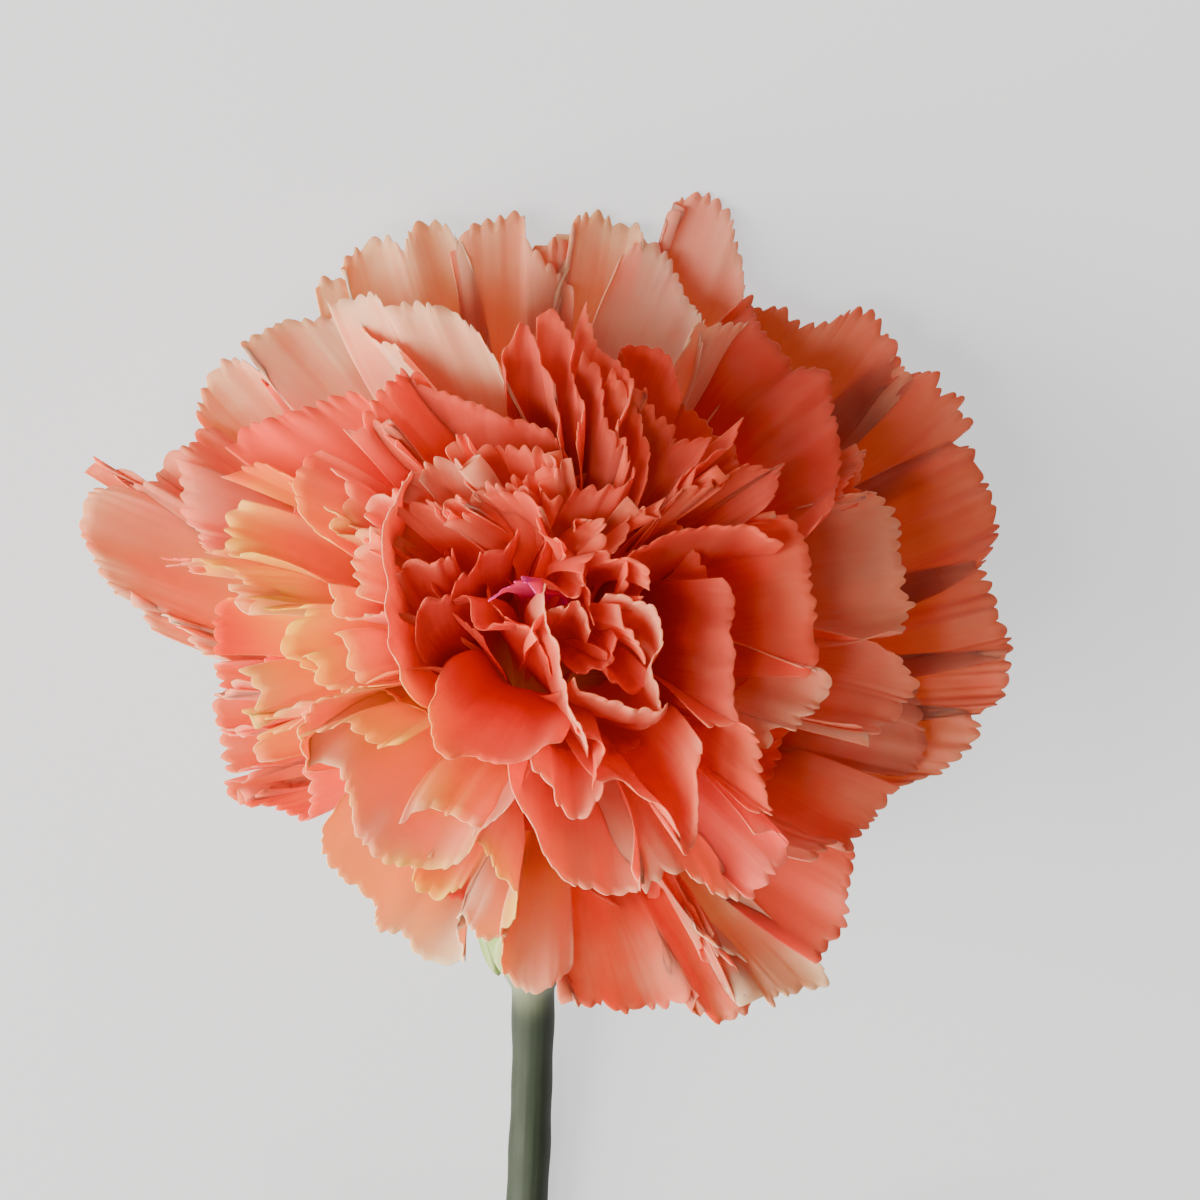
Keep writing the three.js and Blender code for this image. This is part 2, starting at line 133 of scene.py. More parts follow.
def read_points(mesh: bpy.types.Mesh) -> np.ndarray:
    """A mesh's vertices, in the mesh's own units."""
    points = np.empty(len(mesh.vertices) * 3, np.float32)
    mesh.vertices.foreach_get("co", points)
    return points.reshape(-1, 3).astype(float)


def add_attribute(mesh: bpy.types.Mesh, name: str, values: np.ndarray) -> None:
    """Stores one number for each vertex of a mesh."""
    layer = mesh.attributes.new(name, "FLOAT", "POINT")
    layer.data.foreach_set("value", np.asarray(values, np.float32).ravel())


def piece(mesh: bpy.types.Mesh, finish: bpy.types.Material, node: str) -> bpy.types.Object:
    """Puts a mesh in the scene as a smooth piece of the flower, named as its mesh is.

    Args:
        mesh: its mesh, in place.
        finish: its material.
        node: the CAD node that it stands for.

    Returns:
        The new object, which rides on the flower's one body.
    """
    made = bpy.data.objects.new(mesh.name, mesh)
    bpy.context.scene.collection.objects.link(made)
    mesh.materials.append(finish)
    mesh.polygons.foreach_set("use_smooth", [True] * len(mesh.polygons))
    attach(made, ROOT_BODY)
    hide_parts(node)
    log.info("%s: %d faces", mesh.name, len(mesh.polygons))
    return made


def thicken(made: bpy.types.Object, thickness: float) -> None:
    """Gives a sheet an even thickness, in millimetres, about its middle surface."""
    wall = made.modifiers.new("thickness", "SOLIDIFY")
    wall.thickness = thickness * MM
    wall.offset = 0.0
    wall.use_even_offset = False


def grid_mesh(name: str, count: int, columns: int, rows: int) -> bpy.types.Mesh:
    """Several flat grids in one mesh, each over the square from -1 to 1.

    Args:
        name: the mesh's name.
        count: how many grids it holds, one after another.
        columns: the number of cells along X.
        rows: the number of cells along Y.

    Returns:
        The mesh, whose vertices the caller moves by a formula.
    """
    sheet = bmesh.new()
    for _ in range(count):
        bmesh.ops.create_grid(sheet, x_segments=columns, y_segments=rows, size=1.0)
    mesh = bpy.data.meshes.new(name)
    sheet.to_mesh(mesh)
    sheet.free()
    return mesh


def grid_places(mesh: bpy.types.Mesh, count: int, columns: int, rows: int) -> tuple[np.ndarray, np.ndarray]:
    """Which row and which column each vertex of one flat grid is in.

    Args:
        mesh: what grid_mesh made.
        count: how many grids it holds. All have the same order, so the first one's is given.
        columns: the number of cells along X.
        rows: the number of cells along Y.

    Returns:
        The vertices' rows and their columns.
    """
    flat = (read_points(mesh)[: len(mesh.vertices) // count, :2] + 1.0) / 2.0
    return np.rint(flat[:, 1] * rows).astype(int), np.rint(flat[:, 0] * columns).astype(int)


# ---- Shader expressions ----


def connect(socket: bpy.types.NodeSocket, given: object) -> None:
    """Links an input socket to a Value, or sets it to a number, a vector or a colour."""
    if isinstance(given, Value):
        socket.id_data.links.new(given.socket, socket)
    elif socket.type == "RGBA":
        socket.default_value = (*given, 1.0)
    else:
        socket.default_value = given


class Value:
    """An output socket of a material's nodes. Arithmetic on it adds Math nodes."""

    def __init__(self, socket: bpy.types.NodeSocket) -> None:
        """Wraps a socket.

        Args:
            socket: an output socket.
        """
        self.socket = socket

    def _math(self, operation: str, other: object, clamp: bool = False) -> "Value":
        """Adds one Math node.

        Args:
            operation: the node's operation.
            other: its second input, a Value or a number.
            clamp: whether the result is held between 0 and 1.

        Returns:
            The node's result.
        """
        made = self.socket.id_data.nodes.new("ShaderNodeMath")
        made.operation = operation
        made.use_clamp = clamp
        connect(made.inputs[0], self)
        connect(made.inputs[1], other)
        return Value(made.outputs[0])

    def __add__(self, other: object) -> "Value":
        """self + other."""
        return self._math("ADD", other)

    def __sub__(self, other: object) -> "Value":
        """self - other."""
        return self._math("SUBTRACT", other)

    def __mul__(self, other: object) -> "Value":
        """self * other."""
        return self._math("MULTIPLY", other)

    def __truediv__(self, other: object) -> "Value":
        """self / other."""
        return self._math("DIVIDE", other)

    def held(self) -> "Value":
        """This value held between 0 and 1."""
        return self._math("ADD", 0.0, clamp=True)

    def step(self, low: float, high: float) -> "Value":
        """A smooth step from 0 at low to 1 at high."""
        made = self.socket.id_data.nodes.new("ShaderNodeMapRange")
        made.interpolation_type = "SMOOTHSTEP"
        for name, given in (("Value", self), ("From Min", low), ("From Max", high)):
            connect(made.inputs[name], given)
        return Value(made.outputs["Result"])


Colour = tuple[float, float, float]


class Dye:
    """A material under construction: a Principled shader and the nodes that feed it."""

    # Where a Mix node of colours has its factor, its two colours and its result.
    MIX_INPUTS = (0, 6, 7)
    MIX_RESULT = 2

    def __init__(self, name: str) -> None:
        """Starts a material with a bare Principled shader.

        Args:
            name: the material's name.
        """
        self.material = bpy.data.materials.new(name)
        self.material.use_nodes = True
        self.tree = self.material.node_tree
        self.tree.nodes.clear()
        self.shader = self.tree.nodes.new("ShaderNodeBsdfPrincipled")
        output = self.tree.nodes.new("ShaderNodeOutputMaterial")
        self.tree.links.new(self.shader.outputs[0], output.inputs["Surface"])

    def node(self, kind: str, output: str, settings: Optional[dict] = None, **inputs: object) -> Value:
        """Adds a node of any kind.

        Args:
            kind: the node's type.
            output: the name of the output that is wanted.
            settings: the node's own settings, which are set first.
            **inputs: what its input sockets get, by name.

        Returns:
            The named output.
        """
        made = self.tree.nodes.new(kind)
        for key, setting in (settings or {}).items():
            setattr(made, key, setting)
        for key, given in inputs.items():
            connect(made.inputs[key], given)
        return Value(made.outputs[output])

    def attribute(self, name: str) -> Value:
        """One of the piece's own attributes."""
        return self.node("ShaderNodeAttribute", "Fac", {"attribute_name": name})

    def place(self) -> Value:
        """The Object coordinates."""
        return self.node("ShaderNodeTexCoord", "Object")

    def vector(self, x: object, y: object, z: object) -> Value:
        """A vector of three values."""
        return self.node("ShaderNodeCombineXYZ", "Vector", X=x, Y=y, Z=z)

    def noise(self, where: Value, scale: float, detail: float = 2.0, roughness: float = 0.5) -> Value:
        """A noise from 0 to 1 at a place."""
        return self.node(
            "ShaderNodeTexNoise", "Fac", Vector=where, Scale=scale, Detail=detail, Roughness=roughness
        )

    def blend(self, share: object, low: object, high: object) -> Value:
        """A colour between two, as a share from 0 to 1 says."""
        made = self.tree.nodes.new("ShaderNodeMix")
        made.data_type = "RGBA"
        for index, given in zip(self.MIX_INPUTS, (share, low, high)):
            connect(made.inputs[index], given)
        return Value(made.outputs[self.MIX_RESULT])

    def feed(self, name: str, given: object) -> None:
        """Sets or links one input of the shader."""
        connect(self.shader.inputs[name], given)

    def bump(self, height: Value, distance: float, strength: float = 1.0) -> None:
        """Roughens the surface by a height from 0 to 1 that stands for a distance in millimetres."""
        inputs = {"Height": height, "Distance": distance * MM, "Strength": strength}
        self.feed("Normal", self.node("ShaderNodeBump", "Normal", **inputs))


# ---- Finishes ----


@dataclass(frozen=True)
class PetalFinish:
    """Petal tissue: a yellow claw, a coral blade with fine veins and a paler pink edge, with painted shade
    and a faint painted glow.
    """

    claw: Colour = (0.97, 0.58, 0.05)
    gold: Colour = (0.99, 0.37, 0.02)
    glow: Colour = (0.98, 0.26, 0.02)
    blade: Colour = (0.95, 0.045, 0.018)
    deep: Colour = (0.88, 0.014, 0.007)
    # The darkest red: partly the heart's own deeper colour, partly painted shade for petals that lie in
    # shade.
    deep_red_and_painted_shade: Colour = (0.38, 0.006, 0.003)
    pale: Colour = (0.96, 0.205, 0.12)
    cream: Colour = (0.98, 0.44, 0.27)
    edge: Colour = (0.96, 0.26, 0.15)
    tip: Colour = (0.85, 0.03, 0.22)
    # Painted shade: the brown that petals on the side away from the key lamp are turned towards, as their
    # share says.
    painted_shade_brown: Colour = (0.2, 0.064, 0.048)
    mean_along: float = 0.87
    fade_along: float = 1.05
    streaks_across: float = 16.0
    streak_share: float = 0.3
    veins_across: float = 95.0
    mottle_size: float = 160.0
    mottle_share: float = 0.8
    rim_share: float = 0.35
    uneven_base: float = 0.12
    roughness: float = 0.62
    roughness_spread: float = 0.16
    translucency: float = 0.85
    scatter: float = 1.2
    scatter_reach: Colour = (1.0, 0.35, 0.22)
    # Painted light: a faint glow in the petals' own colour, standing in for light bounced between and passing
    # through them.
    painted_glow: float = 0.045
    shine: float = 0.06
    sheen: float = 0.03

    # From which to which paleness each colour takes over from the one before it.
    TO_DEEP = (-0.6, 0.0)
    TO_BLADE = (0.0, 0.5)
    TO_PALE = (0.4, 1.05)
    TO_CREAM = (0.95, 1.6)

    # From where to where along the petal the claw's yellow, the glow above it and the pale rim change.
    OUT_OF_CLAW = (0.16, 0.42)
    OUT_OF_GLOW = (0.34, 0.66)
    INTO_RIM = (0.88, 1.02)

    def material(self) -> bpy.types.Material:
        """Builds the petals' material, which reads each petal's own attributes."""
        dye = Dye("petal")
        along = dye.attribute("along")
        across = dye.attribute("across")
        tone = dye.attribute("tone")
        place = dye.place()
        streak_place = dye.vector(across * self.streaks_across, along * 2.2, tone * 40.0)
        streak = dye.noise(streak_place, 1.0, 3.0, 0.6)
        vein = dye.noise(dye.vector(across * self.veins_across, along * 3.0, tone * 70.0), 1.0, 1.0)
        mottle = dye.noise(place, self.mottle_size, 2.0)
        paleness = tone + (along - self.mean_along) * self.fade_along
        paleness = paleness + (streak - 0.5) * self.streak_share + (mottle - 0.5) * self.mottle_share
        # Below paleness 0 the colour darkens to the darkest red, partly painted shade on petals that lie in
        # shade.
        body = dye.blend(paleness.step(*self.TO_DEEP), self.deep_red_and_painted_shade, self.deep)
        body = dye.blend(paleness.step(*self.TO_BLADE), body, self.blade)
        body = dye.blend(paleness.step(*self.TO_PALE), body, self.pale)
        body = dye.blend(paleness.step(*self.TO_CREAM), body, self.cream)
        fade = along + (streak - 0.5) * self.uneven_base - dye.attribute("glow")
        body = dye.blend(fade.step(*self.OUT_OF_GLOW), self.glow, body)
        body = dye.blend(fade.step(*self.OUT_OF_CLAW), self.claw, body)
        body = dye.blend(dye.attribute("gild"), body, self.gold)
        rim = (fade.step(*self.INTO_RIM) * mottle * self.rim_share).held()
        body = dye.blend(rim, body, self.edge)
        # Painted shade: petals on the side away from the key lamp are turned towards a dull brown.
        body = dye.blend(dye.attribute("painted_shade"), body, self.painted_shade_brown)
        body = dye.blend(dye.attribute("blush"), body, self.tip)
        dye.feed("Base Color", body)
        roughness = mottle * self.roughness_spread + (self.roughness - self.roughness_spread / 2.0)
        dye.feed("Roughness", roughness.held())
        dye.feed("Subsurface Weight", self.translucency)
        dye.feed("Subsurface Radius", self.scatter_reach)
        dye.feed("Subsurface Scale", self.scatter * MM)
        # Painted light: the petals give off their own colour faintly, for light bounced between and passing
        # through them.
        dye.feed("Emission Color", body)
        dye.feed("Emission Strength", self.painted_glow)
        dye.feed("Specular IOR Level", self.shine)
        dye.feed("Sheen Weight", self.sheen)
        dye.feed("Sheen Roughness", 0.5)
        dye.bump(vein * 0.4 + mottle * 0.6, 0.06, 0.3)
        return dye.material


@dataclass(frozen=True)
class GreenFinish:
    """Green plant skin with a waxy bloom: fine grooves along it over cloudy patches."""

    name: str
    skin: Colour
    shade: Colour
    wax: Colour
    wax_share: float = 0.45
    cut: Colour = (0.68, 0.72, 0.45)
    roughness: float = 0.55
    groove_pitch: float = 0.5
    speckle_share: float = 0.15
    scatter_reach: Colour = (0.5, 1.0, 0.3)

    # From where to where each noise turns from one colour to the other.
    BROAD_STEP = (0.3, 0.75)
    SPECKLE_STEP = (0.62, 0.8)

    def material(self) -> bpy.types.Material:
        """Builds the material, which reads the piece's own attributes along and across."""
        dye = Dye(self.name)
        along = dye.attribute("along")
        across = dye.attribute("across")
        place = dye.place()
        cloud = dye.noise(place, 90.0, 3.0, 0.55)
        speckle = dye.noise(place, 900.0, 2.0)
        groove = dye.noise(dye.vector(across / self.groove_pitch, along * 0.03, 0.0), 1.0, 2.0)
        body = dye.blend(groove.step(*self.BROAD_STEP), self.shade, self.skin)
        body = dye.blend((cloud.step(*self.BROAD_STEP) * self.wax_share).held(), body, self.wax)
        body = dye.blend((speckle.step(*self.SPECKLE_STEP) * self.speckle_share).held(), body, self.shade)
        body = dye.blend(dye.attribute("pale"), body, self.cut)
        dye.feed("Base Color", body)
        dye.feed("Roughness", (cloud * 0.2 + (self.roughness - 0.1)).held())
        dye.feed("Subsurface Weight", 0.12)
        dye.feed("Subsurface Radius", self.scatter_reach)
        dye.feed("Subsurface Scale", MM)
        dye.feed("Specular IOR Level", 0.35)
        dye.bump(groove * 0.7 + speckle * 0.3, 0.08, 0.6)
        return dye.material


CALYX_FINISH = GreenFinish(
    "calyx", skin=(0.33, 0.46, 0.07), shade=(0.2, 0.32, 0.04), wax=(0.45, 0.54, 0.2), wax_share=0.3
)
STEM_FINISH = GreenFinish(
    "stem", skin=(0.034, 0.047, 0.026), shade=(0.023, 0.031, 0.017), wax=(0.055, 0.066, 0.05)
)
LEAF_FINISH = GreenFinish(
    "leaf", skin=(0.07, 0.115, 0.06), shade=(0.045, 0.08, 0.038), wax=(0.14, 0.185, 0.145)
)


# ---- The view ----


@dataclass(frozen=True)
class View:
    """The camera: the photograph's angle to the bloom, looking down on it. Lengths are in millimetres.

    It aims at the flower's axis `bloom_height` from the calyx's mouth, shifted by `aim_right` and `aim_up`
    in the picture. `frame_width` is what the picture shows at the distance of that point.
    """

    elevation: float = math.radians(68)
    distance: float = 400.0
    frame_width: float = 109.0
    bloom_height: float = 22.0
    aim_right: float = 6.6
    aim_up: float = -1.3
    sensor: float = 36.0

    def axes(self) -> tuple[Vector, Vector, Vector]:
        """The picture's right, its up and the way from the flower to the camera."""
        back = Vector((0.0, -math.cos(self.elevation), math.sin(self.elevation)))
        up = Vector((0.0, -math.sin(self.elevation), -math.cos(self.elevation)))
        return up.cross(back), up, back

    def target(self, lie: Lie) -> Vector:
        """The point in the middle of the picture, in millimetres."""
        right, up, _ = self.axes()
        return lie.head @ Vector((0.0, 0.0, self.bloom_height)) + right * self.aim_right + up * self.aim_up

    def sight(self, lie: Lie, pixel: tuple[float, float], heights: np.ndarray) -> np.ndarray:
        """The points that show at a pixel of the photograph and have given heights above the mouth.

        Args:
            lie: where the flower lies.
            pixel: a place in the photograph, whose frame is 1200 by 1200 pixels.
            heights: along the face's axis, in millimetres.

        Returns:
            The points, in the face's frame, in millimetres.
        """
        right, up, back = self.axes()
        eye = self.target(lie) + back * self.distance
        scale = self.frame_width / PHOTO_SIZE
        onto = self.target(lie) + right * ((pixel[0] - PHOTO_SIZE / 2) * scale)
        onto -= up * ((pixel[1] - PHOTO_SIZE / 2) * scale)
        to_face = lie.face.inverted()
        near, far = np.array(to_face @ eye), np.array(to_face @ onto)
        share = (heights - near[2]) / (far[2] - near[2])
        return near + (far - near) * share[:, None]

    def pixel(self, lie: Lie, point: np.ndarray) -> np.ndarray:
        """Where a point of the face's frame shows in the photograph, in pixels."""
        right, up, back = self.axes()
        gone = lie.face @ Vector(point) - self.target(lie)
        spread = self.distance / (self.distance - gone.dot(back)) * PHOTO_SIZE / self.frame_width
        return np.array([PHOTO_SIZE / 2 + gone.dot(right) * spread, PHOTO_SIZE / 2 - gone.dot(up) * spread])

    def place(self, lie: Lie) -> bpy.types.Object:
        """Makes the camera.

        Args:
            lie: where the flower lies.

        Returns:
            The camera, set as the scene's.
        """
        right, up, back = self.axes()
        target = self.target(lie)
        data = bpy.data.cameras.new("camera")
        data.sensor_width = self.sensor
        data.lens = self.sensor * self.distance / self.frame_width
        data.clip_start = 0.01
        camera = bpy.data.objects.new("camera", data)
        turn = Matrix((right, up, back)).transposed().to_4x4()
        camera.matrix_world = Matrix.Translation((target + back * self.distance) * MM) @ turn
        bpy.context.scene.collection.objects.link(camera)
        bpy.context.scene.camera = camera
        return camera


# ---- Petals ----


@dataclass(frozen=True)
class Dome:
    """The bloom's rounded outline, in the face's frame.

    `short_side` is how much less its radius is on its upper side. Its middle is `middle` from the calyx's
    mouth, and rises by `slope` towards the side that the bloom lies on. `depth` is half its height, and
    `power` makes it squarer than an ellipse.
    """

    radius: float = 43.0
    short_side: float = 8.0
    middle: float = 19.0
    slope: float = 5.0
    depth: float = 19.0
    power: float = 2.4

    def fullness(self, points: np.ndarray) -> np.ndarray:
        """How far points are from the bloom's middle: 1 on its outline."""
        across = np.hypot(points[..., 0], points[..., 1])
        upper = np.clip(-points[..., 1] / np.maximum(across, 1e-6), 0.0, 1.0)
        radius = self.radius - self.short_side * upper**2
        height = points[..., 2] - self.middle - self.slope * points[..., 1] / self.radius
        share = (across / radius) ** self.power + (np.abs(height) / self.depth) ** self.power
        return share ** (1 / self.power)

    def meet(self, line: np.ndarray, level: float) -> np.ndarray:
        """The first point of a line that is inside a level, or else the line's innermost point.

        Args:
            line: points along it.
            level: a fullness.

        Returns:
            The point.
        """
        fullness = self.fullness(line)
        inside = np.nonzero(fullness <= level)[0]
        if len(inside) == 0 or inside[0] == 0:
            return line[int(np.argmin(fullness))]
        after = inside[0]
        share = (fullness[after - 1] - level) / (fullness[after - 1] - fullness[after])
        return line[after - 1] + (line[after] - line[after - 1]) * share


@dataclass(frozen=True)
class Look:
    """What sets one petal apart. Lengths are in millimetres and angles in degrees.

    `curl` is how far the blade bends on past its own slope at its edge, and `rise` the share of its reach
    over which it stands up before it spreads. `fold`, `frill` and `crumple` are the heights of its broad
    waves, its fine waves and its dimples, `count` and `phase` set how many broad waves there are and where,
    `teeth` scales its teeth, and `fan` is how far its sides bulge, as a share of its width. `tone` runs from
    deep red below 0 to cream above 1; it is partly the petal's own colour and partly painted light and shade,
    lower for some petals that lie in shade and higher for others to lift them out of shade. `glow` is how
    far up the blade the yellow base reaches, as a share of it, `blush` how far it turns magenta and
    `painted_shade` how far it is turned brown as painted shade, on petals on the side away from the key lamp.
    """

    tone: float = 0.45
    glow: float = -0.12
    blush: float = 0.0
    painted_shade: float = 0.0
    curl: float = 34.0
    rise: float = 0.62
    fold: float = 0.8
    count: float = 1.7
    phase: float = 0.0
    frill: float = 0.2
    crumple: float = 0.4
    teeth: float = 1.0
    fan: float = 0.11


# The parts of a look that the petals' material reads.
LOOK_ATTRIBUTES = ("tone", "glow", "blush", "painted_shade")


@dataclass(frozen=True)
class Seen:
    """A petal that the photograph shows.

    `edge` follows its toothed edge in the photograph's pixels. `lift` is how far the edge stands out of the
    bloom's rounded outline, in millimetres, and `slant` how much more it does at its last place.
    """

    name: str
    edge: tuple[tuple[float, float], ...]
    lift: float
    look: Look
    slant: float = 0.0


# The lift of a petal that spreads out low, behind all the others.
BEHIND = -12.0

# Each petal's tone is partly its own colour and partly painted light and shade: lower for some petals that
# lie in shade, higher for others to lift them out of shade.
OUTER_SEEN = (
    Seen(
        "wing_sliver", ((86, 470), (89, 456), (108, 462), (120, 474)),
        BEHIND, Look(tone=0.6, curl=5.0, rise=0.36, fan=0.04),
    ),
    Seen(
        "wing", ((112, 481), (85, 490), (79, 520), (90, 555), (108, 586), (140, 602), (145, 626)),
        BEHIND, Look(tone=1.05, glow=0.2, curl=5.0, rise=0.36, fold=0.6, crumple=0.9),
    ),
    Seen(
        "wing_bridge", ((112, 480), (128, 484), (145, 480), (164, 470)),
        BEHIND, Look(tone=0.85, glow=0.3, curl=5.0, rise=0.36),
    ),
    Seen(
        "wing_low", ((146, 624), (172, 621), (195, 642), (214, 656)),
        BEHIND, Look(tone=1.3, glow=0.2, curl=5.0, rise=0.36),
    ),
    Seen(
        "high_left", ((160, 472), (168, 452), (192, 440), (200, 428), (218, 432)),
        BEHIND, Look(tone=0.75, glow=0.25, curl=10.0, rise=0.4, crumple=0.8),
    ),
    Seen(
        "temple", ((205, 418), (204, 395), (214, 368), (222, 358), (252, 360), (268, 368), (285, 390)),
        BEHIND, Look(tone=1.1, glow=0.1, curl=5.0, rise=0.36, crumple=0.7),
    ),
    Seen(
        "brow_left", ((316, 290), (324, 276), (346, 277), (344, 262), (364, 242), (388, 234), (400, 248),
            (408, 224), (438, 221), (452, 240), (462, 255)),
        BEHIND, Look(tone=1.25, curl=0.0, rise=0.32, fold=0.7, crumple=0.6),
    ),
    Seen(
        "top_left", ((462, 254), (470, 226), (495, 216), (520, 211), (530, 238), (548, 258), (566, 292)),
        BEHIND, Look(tone=1.05, curl=0.0, rise=0.32, phase=0.4, crumple=0.7, fan=0.05),
    ),
    Seen(
        "temple_under", ((248, 366), (260, 380), (276, 384), (288, 376)),
        BEHIND, Look(glow=0.15, curl=5.0, rise=0.36),
    ),
    Seen("top_gap", ((534, 250), (552, 236), (570, 242)), BEHIND, Look(tone=0.95, curl=0.0, rise=0.32)),
    Seen(
        "top", ((566, 246), (570, 221), (600, 209), (618, 222), (638, 223), (644, 238)),
        BEHIND, Look(tone=1.2, curl=0.0, rise=0.32, phase=0.8),
    ),
    Seen(
        "spike", ((674, 226), (684, 196), (704, 187), (722, 199), (736, 216), (739, 255), (740, 290)),
        BEHIND, Look(tone=1.05, blush=0.1, curl=-5.0, rise=0.28, fold=0.7, phase=0.3, fan=0.06),
    ),
    Seen(
        "brow_right", ((740, 296), (752, 292), (757, 306), (785, 306), (796, 318), (820, 322), (845, 312),
            (860, 306), (878, 312), (884, 330), (897, 340), (901, 362)),
        BEHIND, Look(tone=0.7, painted_shade=0.45, curl=0.0, rise=0.32, fold=0.35, crumple=0.8),
    ),
    Seen(
        "high_right", ((896, 380), (922, 368), (941, 372), (944, 391), (965, 393), (962, 412), (975, 421),
            (966, 433)),
        BEHIND, Look(tone=0.7, painted_shade=0.55, curl=0.0, rise=0.32, fold=0.35, phase=0.5, crumple=0.7),
    ),
    Seen(
        "right", ((948, 444), (974, 447), (980, 468), (990, 486), (996, 510), (998, 540), (992, 556),
            (983, 565)),
        BEHIND, Look(tone=0.6, painted_shade=0.5, curl=5.0, rise=0.34, fold=0.35, count=3.2, phase=0.9, crumple=0.8),
    ),
)
RIGHT_SEEN = (
    Seen(
        "right_bridge", ((893, 348), (906, 368), (918, 380)),
        BEHIND, Look(tone=0.9, curl=0.0, rise=0.32, fold=0.2),
    ),
    Seen(
        "low_right_high", ((975, 560), (986, 570), (996, 592), (1001, 616), (1010, 634), (1013, 646),
            (1006, 654)),
        BEHIND, Look(tone=0.7, painted_shade=0.5, curl=5.0, rise=0.34, fold=0.35, count=3.0, phase=0.2, crumple=0.7),
    ),
    Seen(
        "low_right", ((1008, 650), (1013, 668), (1006, 690), (1000, 706), (978, 713), (962, 711)),
        BEHIND, Look(tone=0.85, painted_shade=0.4, curl=5.0, rise=0.34, fold=0.4, count=3.6),
    ),
    Seen(
        "corner_right", ((966, 710), (983, 728), (970, 752), (954, 764), (932, 772), (912, 784),
            (893, 791)),
        BEHIND, Look(tone=1.0, painted_shade=0.4, curl=5.0, rise=0.34, fold=0.35, count=2.8, phase=1.0),
    ),
    Seen(
        "jaw_right", ((895, 788), (886, 808), (876, 826), (862, 836), (854, 847), (832, 845), (812, 857)),
        -7.0, Look(tone=0.8, painted_shade=0.45, curl=15.0, rise=0.45, phase=0.5, crumple=0.8),
    ),
    Seen(
        "jowl", ((848, 838), (856, 852), (856, 872), (851, 896), (849, 916), (840, 932), (828, 944),
            (819, 966)),
        BEHIND, Look(glow=0.0, painted_shade=0.5, curl=5.0, rise=0.34, phase=0.9, fan=0.05),
    ),
    Seen(
        "hem_right", ((817, 966), (827, 986), (803, 990), (793, 1000), (778, 1001), (774, 1013),
            (760, 1008), (750, 1000), (744, 972), (728, 940), (708, 912)),
        BEHIND, Look(tone=1.3, curl=10.0, rise=0.4, fold=1.2, phase=0.2, crumple=0.8, fan=0.04),
    ),
    Seen(
        "hem_left", ((724, 930), (743, 968), (738, 990), (749, 1011), (735, 1018), (708, 1020), (698, 1006),
            (682, 1007), (655, 1002), (638, 1003), (634, 1009), (600, 1010), (588, 1015), (570, 1012),
            (569, 978)),
        BEHIND, Look(tone=0.65, curl=10.0, rise=0.4, fold=1.1, count=2.6, phase=1.1, crumple=0.8, fan=0.02),
    ),
    Seen(
        "twist", ((478, 834), (492, 866), (510, 900), (518, 930), (500, 956), (506, 980), (524, 996),
            (545, 996), (562, 982), (573, 966)),
        -5.0, Look(tone=1.1, glow=0.2, fold=0.7, crumple=0.7, fan=0.03), slant=-4.0,
    ),
    Seen(
        "peach", ((325, 808), (322, 842), (340, 875), (360, 898), (376, 934), (400, 941), (418, 955),
            (440, 955), (453, 945), (463, 919), (478, 941), (505, 937)),
        -7.0, Look(tone=2.0, glow=0.22, curl=10.0, rise=0.36, crumple=0.8, fan=0.04),
    ),
    Seen(
        "fringe_one", ((216, 655), (211, 668), (216, 682), (232, 688)),
        BEHIND, Look(tone=0.85, glow=0.25, curl=10.0, rise=0.4),
    ),
    Seen(
        "fringe_two", ((230, 689), (212, 692), (211, 706), (216, 718), (242, 724)),
        BEHIND, Look(tone=0.85, glow=0.3, curl=10.0, rise=0.4),
    ),
    Seen(
        "fringe_three", ((240, 724), (217, 733), (224, 752), (228, 768), (248, 771)),
        BEHIND, Look(tone=0.85, glow=0.3, curl=10.0, rise=0.4),
    ),
)
